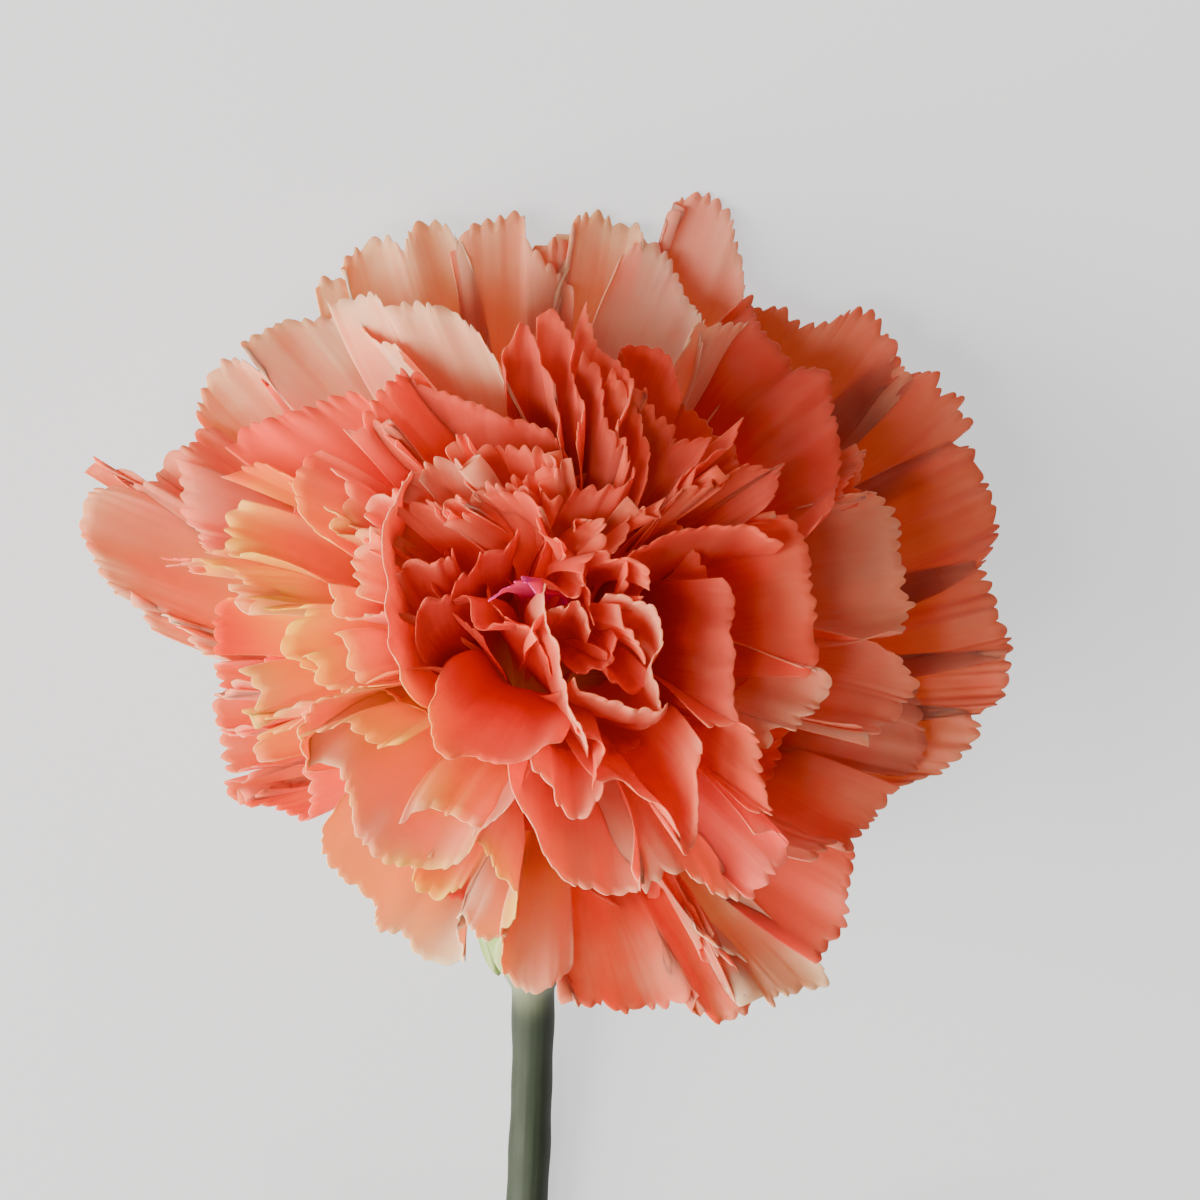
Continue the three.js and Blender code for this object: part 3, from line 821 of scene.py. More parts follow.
SECOND_SEEN = (
    Seen(
        "fringe_four", ((248, 770), (224, 782), (233, 798), (256, 788)),
        BEHIND, Look(tone=0.85, glow=0.2, curl=10.0, rise=0.4),
    ),
    Seen(
        "fringe_low", ((262, 788), (241, 806), (246, 813), (280, 812), (308, 803), (306, 770)),
        BEHIND, Look(tone=0.7, glow=0.2, curl=10.0, rise=0.4),
    ),
    Seen(
        "pale_outer", ((250, 359), (240, 344), (262, 329), (285, 315), (310, 315), (345, 314), (372, 326),
            (390, 343), (402, 368)),
        -7.5, Look(tone=1.2, glow=0.08, fold=0.6),
    ),
    Seen(
        "pale_inner", ((322, 302), (350, 296), (372, 291), (388, 306), (402, 301), (435, 303), (458, 313),
            (474, 332), (486, 352), (498, 374)),
        -4.5, Look(tone=1.2, fold=0.6, phase=0.5),
    ),
    Seen(
        "pink_shell", ((612, 270), (630, 246), (650, 238), (668, 252), (680, 278), (690, 300), (702, 318),
            (698, 345)),
        -6.5, Look(tone=1.35, blush=0.1, curl=15.0, rise=0.46, fold=0.3),
    ),
    Seen(
        "pink_tip", ((698, 345), (708, 330), (722, 322), (738, 321), (752, 314), (754, 336)),
        -5.5, Look(tone=1.1),
    ),
    Seen(
        "fan_right", ((756, 312), (768, 334), (786, 350), (796, 364), (815, 365), (831, 374), (833, 398),
            (839, 425), (840, 455), (835, 485), (836, 512), (826, 532)),
        -5.0, Look(tone=0.2, painted_shade=0.15, fold=0.7, count=1.8, crumple=0.8), slant=2.0,
    ),
    Seen("fin", ((848, 505), (856, 475), (862, 446), (867, 458), (861, 480), (858, 502)), -5.5, Look()),
    Seen(
        "lobes", ((852, 503), (878, 497), (896, 509), (902, 530), (901, 556), (908, 576), (904, 590),
            (916, 598), (904, 614), (906, 626), (888, 638)),
        -4.5, Look(tone=0.85, fold=0.7, phase=0.6, crumple=0.7),
    ),
    Seen(
        "lobes_low", ((880, 636), (900, 655), (910, 674), (921, 686), (906, 696), (899, 716), (886, 723),
            (878, 741), (856, 729)),
        -5.5, Look(tone=0.7, painted_shade=0.1, phase=1.1),
    ),
    Seen(
        "lobes_under", ((921, 684), (922, 715), (926, 742), (920, 768), (898, 778)),
        -9.0, Look(tone=0.75, painted_shade=0.35),
    ),
    Seen(
        "ridge", ((716, 584), (732, 600), (737, 640), (735, 680), (734, 720)),
        0.0, Look(tone=-1.2, curl=20.0, rise=0.8, teeth=0.3),
    ),
)
THIRD_SEEN = (
    Seen(
        "amber_top", ((222, 480), (240, 470), (262, 462), (285, 470), (300, 490)),
        -5.0, Look(tone=0.35, glow=0.3, fold=0.6),
    ),
    Seen(
        "wing_fold", ((166, 574), (205, 560), (238, 566), (252, 590), (240, 603)),
        -5.5, Look(tone=0.7, glow=0.25, crumple=0.8),
    ),
    Seen(
        "amber", ((305, 604), (262, 602), (222, 606), (213, 622), (216, 645), (214, 657)),
        -5.0, Look(tone=0.15, glow=0.3, crumple=0.8), slant=-3.0,
    ),
    Seen(
        "amber_low", ((300, 700), (262, 716), (240, 722), (250, 690), (238, 670)),
        -5.0, Look(tone=1.0, glow=0.3, crumple=0.8),
    ),
    Seen(
        "drape_fold", ((312, 768), (302, 745), (304, 715), (318, 690), (350, 684), (385, 690)),
        -2.0, Look(tone=0.65, glow=0.3, curl=5.0, fold=0.5),
    ),
    Seen(
        "drape", ((303, 748), (306, 764), (330, 768), (344, 800), (354, 838), (372, 860), (398, 866),
            (426, 860), (448, 863), (468, 852), (480, 836), (502, 812)),
        -3.5, Look(tone=1.0, glow=0.2, curl=45.0, fold=0.6, crumple=0.6),
    ),
    Seen(
        "leaf_shape", ((512, 790), (524, 820), (540, 846), (560, 868), (590, 888), (618, 895), (645, 894),
            (640, 868)),
        -3.0, Look(tone=0.8, fold=0.5, teeth=0.5),
    ),
    Seen(
        "pink_end", ((752, 838), (778, 843), (786, 860), (779, 880), (765, 893), (748, 900)),
        -3.0, Look(tone=0.5, blush=0.08),
    ),
    Seen("apron_edge", ((648, 896), (672, 880), (698, 877), (722, 889), (745, 900)), -4.0, Look(tone=1.05)),
    Seen(
        "small_edge", ((528, 777), (548, 790), (562, 803), (582, 811), (601, 790)),
        -1.5, Look(tone=0.7, rise=0.5),
    ),
    Seen(
        "apron_tip", ((600, 788), (628, 790), (646, 803), (664, 816), (678, 838), (687, 853), (693, 825),
            (699, 790), (708, 745)),
        -1.0, Look(tone=0.55, curl=30.0, fold=0.6, teeth=0.4),
    ),
    Seen(
        "apron_fold", ((708, 730), (735, 730), (755, 747), (766, 770), (775, 788), (772, 802), (775, 818),
            (752, 806)),
        -1.5, Look(tone=0.3, fold=0.7),
    ),
    Seen(
        "belly_left", ((425, 684), (422, 712), (432, 740), (448, 755), (470, 748), (505, 757), (535, 757),
            (562, 748)),
        -1.0, Look(tone=0.33, curl=30.0, fold=0.7, teeth=0.5),
    ),
)
INNER_SEEN = (
    Seen("belly", ((598, 790), (600, 765), (590, 742), (584, 720)), 0.0, Look(tone=0.35, teeth=0.4)),
    Seen(
        "edge_left", ((322, 450), (306, 458), (294, 478), (300, 496), (312, 520), (327, 544)),
        -2.5, Look(tone=0.1, rise=0.5, fold=0.4, crumple=0.6, teeth=0.5),
    ),
    Seen("edge_left_in", ((326, 474), (345, 500), (360, 524), (366, 548)), -2.5, Look(tone=0.55, rise=0.4)),
    Seen(
        "left_teeth", ((366, 516), (372, 500), (386, 488), (402, 478), (412, 468)),
        -1.0, Look(tone=0.75, rise=0.55),
    ),
    Seen("left_deep", ((356, 432), (368, 400), (380, 385), (398, 374), (414, 380)), -2.0, Look(tone=0.2)),
    Seen("left_small", ((343, 431), (362, 428), (378, 418), (390, 428), (400, 447)), -2.5, Look()),
    Seen(
        "fan_left", ((403, 366), (424, 386), (455, 396), (485, 406), (515, 415), (548, 426), (558, 445),
            (568, 457)),
        -2.0, Look(tone=-0.6, curl=5.0, fold=0.3, teeth=0.6),
    ),
    Seen(
        "fan_left_in", ((478, 453), (505, 446), (530, 443), (552, 451), (545, 468)),
        -0.5, Look(tone=0.12),
    ),
    Seen(
        "wall", ((406, 468), (389, 498), (384, 540), (386, 600), (390, 650), (396, 678)),
        2.0, Look(tone=0.7, curl=-5.0, rise=0.78, fold=0.3, teeth=0.4),
    ),
    Seen(
        "wall_teeth", ((392, 513), (412, 506), (430, 499), (441, 515), (462, 511), (480, 500)),
        0.5, Look(tone=0.3, teeth=1.3),
    ),
    Seen(
        "cream", ((420, 480), (425, 464), (445, 458), (468, 462), (473, 482), (470, 497)),
        0.5, Look(tone=0.8, teeth=1.3),
    ),
    Seen(
        "cream_mid", ((474, 500), (479, 482), (496, 478), (516, 485), (526, 497)),
        0.5, Look(tone=0.5, teeth=1.3),
    ),
    Seen(
        "cream_low", ((484, 496), (506, 496), (530, 499), (541, 506), (544, 524), (556, 543), (563, 557)),
        1.5, Look(tone=0.25, fold=0.6),
    ),
)
FOLD_SEEN = (
    Seen(
        "gather_left", ((507, 375), (514, 345), (521, 322), (537, 335), (546, 362), (558, 376), (560, 405),
            (556, 432)),
        -2.5, Look(tone=-1.0, fold=0.5, teeth=0.5), slant=2.0,
    ),
    Seen(
        "gather", ((538, 318), (550, 308), (562, 322), (574, 345), (577, 372), (581, 392), (573, 416),
            (570, 440)),
        -2.5, Look(tone=-0.15, fold=0.5, teeth=0.8), slant=2.5,
    ),
    Seen(
        "gather_mid", ((583, 350), (592, 362), (601, 384), (606, 408), (613, 424), (624, 440), (628, 462)),
        0.0, Look(tone=-0.6, fold=0.6),
    ),
    Seen(
        "gather_right", ((582, 300), (590, 328), (598, 350), (618, 360), (633, 373), (643, 388), (636, 400),
            (642, 440), (643, 472)),
        -2.0, Look(tone=0.15, fold=0.7, teeth=0.7), slant=2.0,
    ),
    Seen("gather_in", ((608, 366), (620, 384), (627, 402), (624, 424), (634, 456)), 1.0, Look(tone=0.3)),
    Seen(
        "deep_shell", ((628, 362), (640, 346), (662, 349), (678, 368), (684, 396)),
        -4.0, Look(tone=-0.4, teeth=0.4),
    ),
    Seen(
        "crest", ((648, 388), (654, 410), (668, 420), (676, 440), (694, 438), (712, 437), (706, 452),
            (692, 472), (676, 496)),
        -0.5, Look(tone=-0.6, fold=0.6),
    ),
    Seen(
        "ridge_line", ((743, 417), (728, 440), (710, 462), (694, 485), (676, 501)),
        0.0, Look(tone=0.05, fold=0.3, teeth=0.4),
    ),
    Seen(
        "spikes", ((731, 440), (738, 462), (755, 464), (772, 466), (785, 461), (779, 485), (768, 502)),
        -0.5, Look(tone=-0.6, painted_shade=0.1, fold=0.6),
    ),
    Seen("small_right", ((684, 498), (702, 486), (716, 484), (722, 472), (742, 474)), 0.5, Look(tone=0.3)),
    Seen("small_mid", ((576, 492), (598, 487), (620, 478), (636, 466)), 0.0, Look(tone=-0.5)),
    Seen("small_tip", ((576, 534), (590, 520), (606, 516), (613, 530), (609, 548)), 0.5, Look(tone=0.3)),
    Seen("small_curl", ((620, 556), (627, 514), (642, 500), (658, 514), (672, 506)), 0.5, Look(tone=0.2)),
)
HEART_SEEN = (
    Seen(
        "lip", ((426, 632), (429, 602), (446, 590), (456, 574), (472, 564), (481, 552), (500, 546),
            (520, 525)),
        0.5, Look(tone=-0.5, curl=-10.0, fold=0.5, teeth=1.3),
    ),
    Seen(
        "lip_left", ((402, 579), (414, 566), (432, 555), (450, 545)),
        0.8, Look(tone=0.0, curl=-5.0, teeth=1.3),
    ),
    Seen("cup_floor", ((445, 606), (462, 607), (480, 620), (504, 622)), -4.5, Look(tone=-0.1, teeth=0.4)),
    Seen(
        "magenta", ((496, 602), (500, 585), (514, 574), (528, 573), (522, 592)),
        1.0, Look(tone=0.4, blush=1.0),
    ),
    Seen(
        "bright_edge", ((542, 583), (542, 605), (550, 628), (560, 655), (572, 690), (583, 718), (587, 744)),
        2.0, Look(tone=0.7, curl=-5.0, fold=0.3, teeth=0.9),
    ),
    Seen(
        "mid_tip", ((545, 592), (560, 592), (575, 597), (581, 583), (586, 566), (591, 585), (592, 626)),
        0.5, Look(tone=0.25, fold=0.4),
    ),
    Seen(
        "swirl", ((606, 594), (632, 600), (653, 603), (664, 622), (665, 642), (656, 656), (661, 682),
            (668, 706)),
        1.0, Look(tone=0.7, curl=-10.0, fold=0.3, teeth=0.7),
    ),
    Seen(
        "swirl_low", ((577, 676), (584, 692), (606, 701), (636, 705), (660, 710), (670, 704)),
        1.5, Look(tone=0.6, curl=-10.0, fold=0.2, teeth=0.6),
    ),
    Seen(
        "hollow_left", ((580, 682), (598, 673), (608, 667), (606, 655), (618, 640)),
        -1.5, Look(tone=-0.1, teeth=0.3),
    ),
    Seen("hollow_right", ((612, 617), (634, 631), (645, 645), (640, 662)), -0.5, Look(tone=0.5, teeth=0.3)),
    Seen(
        "roll", ((640, 598), (622, 590), (633, 574), (634, 560), (652, 545), (680, 532), (712, 526),
            (742, 521), (770, 530), (786, 542)),
        1.0, Look(tone=0.12, curl=-5.0, fold=0.3, teeth=0.6), slant=-1.5,
    ),
    Seen(
        "cheek", ((768, 522), (784, 513), (800, 530), (810, 552), (815, 585), (820, 615), (813, 634),
            (819, 655), (804, 672)),
        -2.5, Look(tone=0.2, fold=0.4, crumple=0.6, teeth=0.6),
    ),
    Seen(
        "pale_lobes", ((800, 670), (824, 673), (833, 686), (822, 699), (815, 712), (804, 722), (795, 734),
            (777, 732), (773, 752)),
        -3.0, Look(tone=0.85, fold=0.5),
    ),
)
FRILL_SEEN = (
    Seen(
        "left_inner", ((322, 508), (334, 520), (348, 532), (360, 540)),
        -2.0, Look(tone=0.75, glow=0.2, rise=0.45, crumple=0.6),
    ),
    Seen(
        "left_upright", ((362, 528), (355, 550), (354, 570), (358, 588), (366, 598)),
        -2.2, Look(tone=1.0, glow=0.1, rise=0.35, crumple=0.6),
    ),
    Seen(
        "left_hook", ((322, 590), (330, 604), (346, 612), (364, 620), (382, 614)),
        -2.4, Look(tone=0.8, rise=0.35, crumple=0.6),
    ),
    Seen(
        "left_plain", ((330, 640), (340, 652), (352, 664), (366, 672), (382, 676)),
        -2.6, Look(tone=0.9, glow=0.15, rise=0.35, crumple=0.6),
    ),
    Seen(
        "amber_ridge", ((238, 498), (228, 510), (224, 530), (228, 548), (244, 560)),
        -6.5, Look(tone=1.0, glow=0.25, rise=0.45, crumple=0.8),
    ),
    Seen(
        "amber_in", ((304, 606), (292, 620), (288, 640), (294, 656), (312, 668)),
        -3.2, Look(glow=0.3, rise=0.45, crumple=0.8),
    ),
    Seen(
        "amber_under", ((300, 662), (312, 672), (330, 680), (350, 684)),
        -2.8, Look(tone=0.9, glow=0.25, rise=0.45, crumple=0.8),
    ),
    Seen(
        "pink_knot", ((224, 592), (230, 602), (242, 604), (256, 598)),
        -4.8, Look(tone=1.1, blush=0.06, rise=0.45),
    ),
    Seen(
        "temple_inner", ((226, 446), (240, 428), (268, 416), (300, 406), (330, 396), (350, 402)),
        -5.0, Look(tone=-0.05),
    ),
    Seen(
        "fringe_in", ((304, 706), (284, 726), (264, 736), (254, 752), (268, 762)),
        -6.0, Look(tone=0.85, glow=0.3, rise=0.45, crumple=0.7),
    ),
    Seen(
        "drape_lip", ((303, 748), (324, 737), (350, 732), (378, 734), (400, 744)),
        -1.6, Look(tone=0.5, glow=0.4, rise=0.45, crumple=0.6),
    ),
    Seen(
        "drape_side", ((404, 828), (420, 812), (440, 804), (458, 812), (478, 832)),
        -2.4, Look(tone=0.95, glow=0.35, rise=0.45),
    ),
    Seen("hem_crease", ((690, 934), (706, 958), (722, 984), (736, 1004)), -8.5, Look(tone=0.75, fan=0.05)),
    Seen(
        "wing_ridge", ((174, 462), (179, 490), (181, 514), (192, 530), (212, 536), (232, 546)),
        -9.0, Look(tone=0.8, glow=0.2, rise=0.4, crumple=0.7),
    ),
    Seen(
        "wing_slit", ((160, 566), (176, 562), (196, 558), (210, 562)),
        -8.0, Look(tone=0.6, glow=0.2, rise=0.4),
    ),
    Seen(
        "heart_cover", ((584, 574), (594, 556), (612, 546), (632, 550), (644, 566), (642, 588)),
        2.2, Look(tone=0.2, teeth=0.8),
    ),
    Seen("hollow_floor", ((596, 664), (612, 678), (632, 684), (650, 674)), -3.5, Look(tone=0.1, teeth=0.6)),
    Seen(
        "mid_shell", ((544, 640), (546, 614), (556, 598), (572, 594), (588, 604), (592, 630)),
        0.8, Look(tone=0.5, curl=0.0, teeth=0.5),
    ),
    Seen("ring", ((449, 512), (450, 497), (460, 491), (470, 497), (468, 512)), 1.0, Look(tone=0.4)),
    Seen("curl_edge", ((568, 456), (557, 462), (550, 478), (552, 490), (564, 496)), 0.5, Look(tone=0.4)),
    Seen("fan_left_tip", ((550, 452), (538, 468), (524, 479), (508, 474)), 0.2, Look(tone=0.25)),
    Seen("knob", ((456, 450), (454, 438), (463, 431), (472, 437), (486, 448)), -0.6, Look(tone=0.25)),
    Seen(
        "peach_fold", ((430, 856), (417, 870), (421, 886), (440, 898), (462, 896)),
        -5.5, Look(tone=0.8, glow=0.2),
    ),
)
SEEN_GROUPS = {
    "outer_seen": OUTER_SEEN,
    "right_seen": RIGHT_SEEN,
    "second_seen": SECOND_SEEN,
    "third_seen": THIRD_SEEN,
    "inner_seen": INNER_SEEN,
    "fold_seen": FOLD_SEEN,
    "heart_seen": HEART_SEEN,
    "frill_seen": FRILL_SEEN,
}


@dataclass(frozen=True)
class Gilding:
    """A place where the petals' yellow bases shine through: the photograph's pixel, and a radius."""

    pixel: tuple[float, float]
    radius: float
    strength: float = 0.7


GILDINGS = (
    Gilding((268, 505), 3.4),
    Gilding((228, 532), 2.2, 0.85),
    Gilding((265, 555), 3.6, 0.8),
    Gilding((300, 562), 4.2, 0.8),
    Gilding((272, 590), 2.4),
    Gilding((212, 566), 1.4, 0.9),
    Gilding((290, 618), 3.1, 0.9),
    Gilding((306, 642), 2.9, 0.9),
    Gilding((324, 666), 3.1, 0.85),
    Gilding((270, 668), 2.4, 0.5),
    Gilding((236, 682), 1.9),
    Gilding((240, 704), 1.9),
    Gilding((258, 724), 2.2, 0.85),
    Gilding((292, 742), 2.2),
    Gilding((375, 718), 3.1, 0.7),
    Gilding((405, 722), 3.6, 0.8),
    Gilding((448, 792), 2.4, 0.8),
    Gilding((332, 802), 1.9, 0.8),
    Gilding((392, 880), 2.2, 0.85),
    Gilding((408, 888), 2.4, 0.9),
    Gilding((444, 890), 2.6, 0.7),
    Gilding((346, 602), 1.7, 0.6),
    Gilding((338, 524), 1.9, 0.5),
    Gilding((486, 852), 1.3, 0.9),
    Gilding((497, 876), 1.6, 0.9),
    Gilding((510, 902), 1.5, 0.9),
    Gilding((518, 930), 1.5, 0.9),
    Gilding((504, 956), 1.2, 0.8),
)


# The bloom's own outline in the photograph, in pixels.
OUTLINE = (
    (84, 490), (108, 462), (168, 452), (205, 418), (222, 358), (240, 344), (285, 315), (324, 276),
    (364, 242), (408, 224), (470, 226), (520, 211), (552, 236), (600, 209), (668, 234), (704, 187),
    (736, 216), (745, 290), (785, 306), (878, 312), (901, 365), (941, 372), (975, 421), (996, 510),
    (983, 565), (1013, 650), (1000, 706), (970, 752), (893, 791), (854, 847), (849, 916), (819, 966),
    (803, 990), (760, 1008), (708, 1020), (600, 1010), (570, 985), (545, 996), (505, 985), (500, 940),
    (463, 919), (440, 955), (400, 941), (360, 898), (325, 842), (312, 806), (241, 806), (224, 760),
    (211, 706), (216, 655), (145, 626), (108, 586), (80, 520),
)


@dataclass(frozen=True)
class Whorl:
    """A whorl of petals that are mostly hidden.

    `lean` is their angle from the face's axis in degrees, `level` how far out their edges are as a share of
    the bloom's rounded outline, and `width` how long an edge is, in millimetres.
    """

    name: str
    count: int
    lean: float
    level: float
    width: float
    look: Look


WHORLS = (
    Whorl("guard", 9, 100, 0.82, 32, Look(curl=5, rise=0.3, tone=0.8, glow=0.1)),
    Whorl("outer", 9, 84, 0.72, 30, Look(curl=5, rise=0.32, tone=0.6)),
    Whorl("shoulder", 9, 62, 0.62, 26, Look(curl=10, rise=0.4, tone=0.3)),
    Whorl("middle", 8, 40, 0.7, 21, Look(curl=10, rise=0.5, tone=0.2)),
    Whorl("centre", 6, 18, 0.82, 15, Look(curl=5, rise=0.5, tone=0.2)),
)


@dataclass
class Petal:
    """One petal: a claw in the calyx and a blade that spreads from it to a toothed edge.

    `edge` is in the face's frame, `seed` sets the petal's own random draws, and `eye` is where the camera
    is, for a petal that the photograph shows.
    """

    edge: np.ndarray
    look: Look
    seed: int
    eye: Optional[np.ndarray] = None

    CLAW_HALF_WIDTH = 2.0
    ROOT_RADIUS = 3.2
    REACH_FOR_ROOT = 42.0
    APPROACH = 0.36
    EASE = 0.2
    DETAIL_FROM = 0.55
    WIDEST = 0.68
    LEAST_FACING = 0.12

    # An edge of this length has as many broad waves as the look says, a shorter or longer one within limits.
    EDGE_FOR_COUNT = 30.0
    COUNT_LIMITS = (0.5, 1.6)

    # How tightly the second broad wave and the fine one are spaced, as shares of the first.
    SECOND_WAVE = 2.3
    SECOND_SHARE = 0.3
    FINE_WAVE = 4.6

    # The powers by which the broad waves, the fine ones and the dimples grow towards the edge.
    FOLD_GROWTH = 2.4
    FRILL_GROWTH = 6
    DIMPLE_GROWTH = 1.5

    def rim(self, across: np.ndarray) -> np.ndarray:
        """Points evenly spaced along a smooth curve through the edge's places, shape (columns, 3)."""
        gaps = np.linalg.norm(np.diff(self.edge, axis=0), axis=1)
        knots = np.concatenate(([0.0], np.cumsum(np.sqrt(gaps))))
        slopes = np.gradient(self.edge, knots, axis=0)
        fine = np.linspace(0.0, knots[-1], 40 * len(gaps))
        index = np.clip(np.searchsorted(knots, fine, side="right") - 1, 0, len(gaps) - 1)
        width = (knots[index + 1] - knots[index])[:, None]
        share = (fine[:, None] - knots[index][:, None]) / width
        curve = (
            self.edge[index] * (1 + 2 * share) * (1 - share) ** 2
            + self.edge[index + 1] * share**2 * (3 - 2 * share)
            + slopes[index] * width * share * (1 - share) ** 2
            - slopes[index + 1] * width * share**2 * (1 - share)
        )
        length = np.concatenate(([0.0], np.cumsum(np.linalg.norm(np.diff(curve, axis=0), axis=1))))
        wanted = (across + 1.0) / 2.0 * length[-1]
        return np.stack([np.interp(wanted, length, curve[:, axis]) for axis in range(3)], axis=1)

    def eased(self, rim: np.ndarray) -> np.ndarray:
        """A rim without its small turns: a smooth blade's, which the true rim is added to near its edge."""
        reach = max(1, round(self.EASE * len(rim)))
        before = 2.0 * rim[0] - rim[reach:0:-1]
        after = 2.0 * rim[-1] - rim[-2 : -2 - reach : -1]
        row = np.concatenate((before, rim, after))
        weight = np.cos(np.linspace(-1.0, 1.0, 2 * reach + 1) * math.pi / 2.0) ** 2
        weight /= weight.sum()
        return np.stack([np.convolve(row[:, axis], weight, mode="valid") for axis in range(3)], axis=1)

    def fan(self, rim: np.ndarray, reach: np.ndarray, across: np.ndarray, t: np.ndarray) -> np.ndarray:
        """How far the blade's sides bulge, so that it's a round fan and no wedge."""
        span = rim[-1] - rim[0]
        width = float(np.linalg.norm(span))
        bulge = self.look.fan * min(width, float(reach.mean())) * across[:, None] * (span / max(width, 1e-6))
        rest = 1.0 / self.WIDEST - 1.0
        peak = self.WIDEST**2 * (1.0 - self.WIDEST) ** (2.0 * rest)
        return bulge * t**2 * (1.0 - t) ** (2.0 * rest) / peak

    def settled(self, detail: np.ndarray, rim: np.ndarray, arrival: np.ndarray) -> np.ndarray:
        """An edge's small turns, moved along the line of sight into the blade's own surface.

        Args:
            detail: the turns, as offsets from the smooth edge.
            rim: the smooth edge.
            arrival: the way that the blade runs where it meets the edge.

        Returns:
            The offsets, which show the same outline. Those of a blade seen edge-on stay as ruffles.
        """
        normal = np.cross(np.gradient(rim, axis=0), arrival)
        normal /= np.maximum(np.linalg.norm(normal, axis=1, keepdims=True), 1e-9)
        off = (detail * normal).sum(axis=1, keepdims=True)
        if self.eye is None:
            return detail - off * normal
        sight = rim - self.eye
        sight /= np.linalg.norm(sight, axis=1, keepdims=True)
        facing = (sight * normal).sum(axis=1, keepdims=True)
        return detail - sight * off * facing / np.maximum(facing**2, self.LEAST_FACING)

    @property
    def edge_length(self) -> float:
        """The length of the edge."""
        return float(np.linalg.norm(np.diff(self.rim(np.linspace(-1.0, 1.0, 60)), axis=0), axis=1).sum())

    def sheet(self, across: np.ndarray, along: np.ndarray, shortfall: np.ndarray) -> np.ndarray:
        """Points of the petal's middle surface.

        Args:
            across: from -1 to 1 over the blade, one column for each place across.
            along: from 0 at the root to 1 at the edge, one row for each place along.
            shortfall: how far each column's edge stops short, in millimetres.

        Returns:
            The points, shape (rows, columns, 3).
        """
        true_rim = self.rim(across)
        rim = self.eased(true_rim)
        middle = rim.mean(axis=0)
        out = math.hypot(middle[0], middle[1])
        outward = np.array([middle[0], middle[1], 0.0]) / max(out, 1e-6)
        sideways = np.array([-outward[1], outward[0], 0.0])
        if (rim[-1] - rim[0]) @ sideways < 0.0:
            sideways = -sideways
        root = outward * self.ROOT_RADIUS * min(1.0, 0.25 + out / self.REACH_FOR_ROOT)
        base = root + sideways * (across[:, None] * self.CLAW_HALF_WIDTH)
        gone = rim - base
        reach = np.linalg.norm(gone, axis=1)
        flat = np.hypot(gone[:, 0], gone[:, 1])
        lean = np.arctan2(flat, gone[:, 2])
        bend = lean + math.radians(self.look.curl)
        away = gone[:, :2] / np.maximum(flat, 1e-6)[:, None]
        arrival = np.concatenate((away * np.sin(bend)[:, None], np.cos(bend)[:, None]), axis=1)
        rise = self.look.rise * np.cos(np.clip(lean, 0.0, 1.7) * 0.6) * reach
        leave = base + np.array([0.0, 0.0, 1.0]) * rise[:, None]
        near = rim - arrival * (self.APPROACH * reach)[:, None]
        v = along[:, None]
        t = (v * (1.0 - (shortfall / reach)[None, :] * smoothstep(v, 0.7, 1.0)))[..., None]
        points = base * (1 - t) ** 3 + leave * 3 * t * (1 - t) ** 2 + near * 3 * t**2 * (1 - t) + rim * t**3
        points = points + self.fan(rim, reach, across, t)
        detail = self.settled(true_rim - rim, rim, arrival)
        points = points + detail * smoothstep(t, self.DETAIL_FROM, 1.0)
        run_across = np.gradient(points, axis=1)
        run_along = np.gradient(points, axis=0)
        normal = np.cross(run_across, run_along)
        normal /= np.maximum(np.linalg.norm(normal, axis=-1, keepdims=True), 1e-9)
        return points + normal * self.waves(across[None, :], v)[..., None]

    def waves(self, u: np.ndarray, v: np.ndarray) -> np.ndarray:
        """How far the folds, the frill and the dimples push the blade out of its smooth surface.

        Args:
            u: places across, from -1 to 1.
            v: places along, from 0 to 1.

        Returns:
            The offsets, in millimetres.
        """
        look = self.look
        draws = np.random.default_rng(self.seed).uniform(0.0, 2.0 * math.pi, 8)
        phase = math.pi * look.phase + draws[0] * 0.25
        fewest, most = self.COUNT_LIMITS
        count = look.count * min(most, max(fewest, self.edge_length / self.EDGE_FOR_COUNT))
        bent = u + 0.16 * np.sin(2.6 * v + draws[4]) + 0.1 * np.sin(5.2 * v + draws[5])
        broad = np.sin(math.pi * count * bent + phase)
        broad = broad + self.SECOND_SHARE * np.sin(math.pi * self.SECOND_WAVE * count * bent + draws[1] - v)
        fine = np.sin(math.pi * self.FINE_WAVE * count * u + draws[2] + 2.0 * v)
        fine = fine * (0.6 + 0.4 * np.sin(3.1 * u + draws[3]))
        dimple = np.sin(math.pi * (1.1 * count * u + 2.2 * v) + draws[6])
        dimple = dimple * np.sin(math.pi * (3.1 * v - 0.7 * count * u) + draws[7])
        folds = look.fold * v**self.FOLD_GROWTH * broad + look.frill * v**self.FRILL_GROWTH * fine
        return folds + look.crumple * v**self.DIMPLE_GROWTH * dimple


